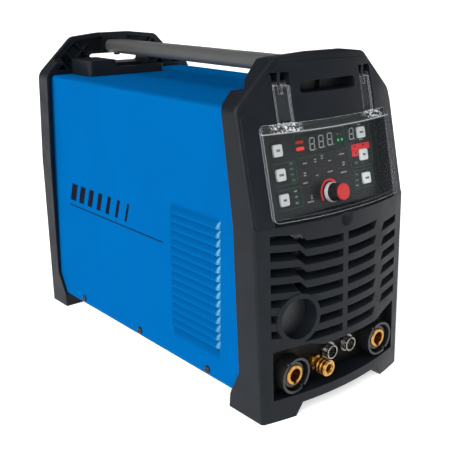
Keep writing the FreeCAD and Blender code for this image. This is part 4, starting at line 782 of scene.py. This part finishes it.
def build_print():
    green = Print()
    green.frame(-67, -38, 33, 54.3, 0.35)
    green.frame(-66, -35, 9.5, 29, 0.35)
    green.frame(42.5, 72, 12.5, 31.5, 0.35)
    green.frame(40.4, 75, 34.5, 80.0, 0.35)
    green.frame(-36.0, 36.5, 55.5, 79.0, 0.3)
    left_tabs = ((-44.8, 52), (-44.9, 46.9), (-45, 41.5), (-44.4, 36))
    left_tabs += ((-43.7, 25.4), (-43.7, 19.9), (-44, 14))
    right_tabs = ((48.3, 39.3), (59.4, 38.2), (46.0, 27.4), (45.6, 21.7), (45.2, 16.4))
    for x, v in left_tabs:
        green.frame(x - 2.6, x + 3.4, v - 1.6, v + 1.6, 0.3, 0.8)
    for x, v in right_tabs:
        green.frame(x - 2.2, x + 3.0, v - 1.5, v + 1.5, 0.3, 0.8)
    green.add("panel_print_green", INK_GREEN, "fascia_print")

    white = Print()
    captions = (
        (-25.6, 49.6, 5, 1), (-10.7, 51.5, 3, 2), (-0.8, 53.4, 3, 2), (9.4, 47.3, 4, 1),
        (28.2, 51.4, 7, 1), (29.4, 42.6, 3, 2), (-27.2, 40.4, 3, 2), (-10.9, 35.6, 3, 1),
        (8.4, 36.6, 7, 1), (27.9, 33.0, 8, 1), (-28.4, 30.8, 6, 1), (-22.3, 17.2, 2, 2),
        (-24.5, 11.8, 8, 1), (60.0, 62.2, 5, 1), (60.0, 77.6, 4, 1), (-43.0, 25.4, 3, 1),
        (-43.0, 19.9, 3, 1), (-43.0, 14.0, 3, 1), (45.5, 16.4, 3, 1), (48.5, 39.3, 2, 1),
    )
    for x, v, count, rows in captions:
        white.label(x, v, count, rows)
    for x, v in ((-44.3, 52), (-44.4, 46.9), (-44.5, 41.5), (-43.9, 36), (46.4, 27.4), (46.0, 21.7)):
        white.stroke(x - 1.3, v, x + 0.2, v + 0.5, 0.35)
        white.stroke(x + 0.2, v + 0.5, x + 1.7, v - 0.3, 0.35)
    white.add("panel_print_white", INK_WHITE, "fascia_print")

    grey = Print()
    grey.stroke(-70, 1.9, 84, 1.9, 0.25)
    grey.stroke(84, 1.9, 84, 88, 0.25)
    for v in (50.4, 45.4):
        grey.stroke(37.4, v - 2, 37.4, v + 2, 0.3)
    grey.add("panel_print_grey", INK_GREY, "fascia_print")

    upper = ((-36, 38), (-30, 38), (-30, 44), (-22, 44), (-14, 55), (2, 55), (2, 44), (14, 44))
    upper += ((24, 55), (33, 47))
    lower = ((33, 47), (33, 37), (20, 37), (14, 41), (-4, 41), (-10, 32), (-19, 32), (-19, 27))
    lower += ((-34, 27),)
    dim = Print()
    for path in (upper, lower):
        for start, end in zip(path, path[1:]):
            dim.stroke(*start, *end, 0.3)
    dim.add("panel_print_cycle", INK_DIM_RED, "fascia_print")

    red = Print()
    red.block(43.6, 72, 51.8, 58.4, 0.6)
    red.block(43.6, 53.2, 46.0, 52.2, 0.6)
    red.arc(KNOB[0], KNOB[1], 12.6, 210, 45, 2.4)
    red.add("panel_print_red", INK_RED, "fascia_print")

    dark = Print(low=FILM - 0.02, high=2 * FILM)
    dark.label(49.0, 56.0, 3)
    dark.disc(49.5, 49.6, 0.9)
    dark.label(62.5, 56.4, 4)
    dark.add("panel_print_dark", GRAPHIC_BLACK, "fascia_print")


def seven_segments(sheet, x, v, width, height, stroke):
    """The seven bars of one digit and its point."""
    half_w, half_h = width / 2, height / 2
    end = DIGIT_GAP + stroke / 2

    def at(px, pv):
        return x + px + DIGIT_LEAN * pv / half_h, v + pv

    for pv in (-half_h, 0.0, half_h):
        sheet.stroke(*at(end - half_w, pv), *at(half_w - end, pv), stroke)
    for px in (-half_w, half_w):
        for low in (-half_h, 0.0):
            sheet.stroke(*at(px, low + end), *at(px, low + half_h - end), stroke)
    sheet.disc(x + half_w + 1.3, v - half_h, stroke * 0.55, 8)


def build_display():
    digits = Print()
    for x, v in ((-12.0, 66.8), (0.9, 67.6), (13.6, 68.4)):
        seven_segments(digits, x, v, 6.3, 11.6, 1.25)
    seven_segments(digits, 46.4, 69.4, 6.0, 10.8, 1.2)
    digits.add("display_digits", SEGMENT, "display_glass")

    lit = Print(high=LAMP_BAR)
    lit.block(-34.3, -24.0, 62.6, 66.0, 0.7)
    lit.add("display_lamp_bar_lower", LAMP_RED, "display_glass")
    dim = Print(high=LAMP_BAR)
    dim.block(-34.3, -24.0, 69.0, 72.2, 0.7)
    dim.add("display_lamp_bar_upper", LAMP_RED_DIM, "display_glass")


def build_lamps():
    for name, places, material in (
        ("status_lamps_lit", ((25.6, 65.9), (31.2, 65.8)), LAMP_GREEN),
        ("status_lamps_off", ((25.4, 71.8), (30.8, 71.8)), LAMP_GREEN_OFF),
    ):
        form = bmesh.new()
        for x, v in places:
            dome = [(0.02, -0.05), (LAMP_RADIUS, -0.05)]
            for i in range(5):
                turn = math.pi / 2 * i / 4
                dome.append((max(0.02, LAMP_RADIUS * math.cos(turn)), 0.15 + 0.5 * math.sin(turn)))

            def place(du, dv, n, x=x, v=v):
                return on_panel(x + du, v + dv, n)

            lathe(form, dome, place, 20)
        add_piece(name, form, material, "casing")


def build_button_marks():
    """A small dark caption on each key."""
    for name, (x, v) in BUTTONS.items():
        mark = Print(*KEY_MARK)
        count = 4 if name in LONG_MARKS else 3
        for i in range(count):
            left = x + (i - count / 2) * 1.5
            mark.block(left, left + 1.05, v - 1.1, v + 1.1)
        mark.add(name + "_mark", GRAPHIC_BLACK, "button_white", body=name)


def build_knob_band():
    """Bright band round the foot of the knob."""
    form = bmesh.new()
    profile = [(9.3, 0.7), (9.9, 0.9), (10.1, 2.4), (9.9, 4.6), (9.3, 5.1)]

    def place(du, dv, n):
        return on_panel(KNOB[0] + du, KNOB[1] + dv, n)

    lathe(form, profile, place, 64)
    add_piece("knob_band", form, KNOB_SILVER, "knob")


build_print()
build_display()
build_lamps()
build_button_marks()
build_knob_band()


# ---- stage ------------------------------------------------------------------------------
SUNS = (                            # name, azimuth, elevation, strength, width in degrees
    ("key", -74, 22, 3.7, 60),
    ("top", -20, 78, 0.4, 90),
    ("front", 15, 60, 0.8, 60),
)
FLOOR_RADIUS = 60.0
FLOOR_DROP = 0.0002                # gap under the feet
FLOOR_GLOW = 0.64
SKY_BANDS = {"From Min": 0.08, "From Max": 0.2, "To Min": 1.0, "To Max": 0.2}


def add_sun(name, azimuth, elevation, strength, width):
    """Soft light that shines from a direction; azimuth is degrees from the front towards the right."""
    a, e = math.radians(azimuth), math.radians(elevation)
    source = Vector((math.sin(a) * math.cos(e), -math.cos(a) * math.cos(e), math.sin(e)))
    data = bpy.data.lights.new(name, "SUN")
    data.energy = strength
    data.angle = math.radians(width)
    light = bpy.data.objects.new(name, data)
    light.rotation_euler = source.to_track_quat("Z", "Y").to_euler()
    light.location = source
    bpy.context.scene.collection.objects.link(light)


def add_floor():
    mesh = bpy.data.meshes.new("floor")
    form = bmesh.new()
    bmesh.ops.create_circle(form, cap_ends=True, segments=96, radius=FLOOR_RADIUS)
    form.to_mesh(mesh)
    form.free()
    floor = bpy.data.objects.new("floor", mesh)
    floor.location = (0.0, 0.0, cad_box[0][2] - FLOOR_DROP)
    bpy.context.scene.collection.objects.link(floor)
    finish = Finish("pale_floor", (0.86, 0.86, 0.86), 0.7, specular=0.1)
    finish.mottle(400.0, 0.1, (0.83, 0.83, 0.83))
    finish.link(finish.colour, finish.shader.inputs["Emission Color"])
    finish.set("Emission Strength", FLOOR_GLOW)
    mesh.materials.append(finish.done())


def add_sky():
    """Even dim sky that is bright near the horizon."""
    world = bpy.data.worlds.new("studio")
    world.use_nodes = True
    tree = world.node_tree
    sky = tree.nodes["Background"]
    sky.inputs["Color"].default_value = (0.95, 0.97, 1.0, 1.0)
    axes = tree.nodes.new("ShaderNodeSeparateXYZ")
    tree.links.new(tree.nodes.new("ShaderNodeTexCoord").outputs["Generated"], axes.inputs[0])
    fade = tree.nodes.new("ShaderNodeMapRange")
    tree.links.new(axes.outputs["Z"], fade.inputs["Value"])
    for name, value in SKY_BANDS.items():
        fade.inputs[name].default_value = value
    tree.links.new(fade.outputs["Result"], sky.inputs["Strength"])
    bpy.context.scene.world = world


add_floor()
add_sky()
for sun in SUNS:
    add_sun(*sun)
bpy.context.scene.view_settings.view_transform = "Standard"
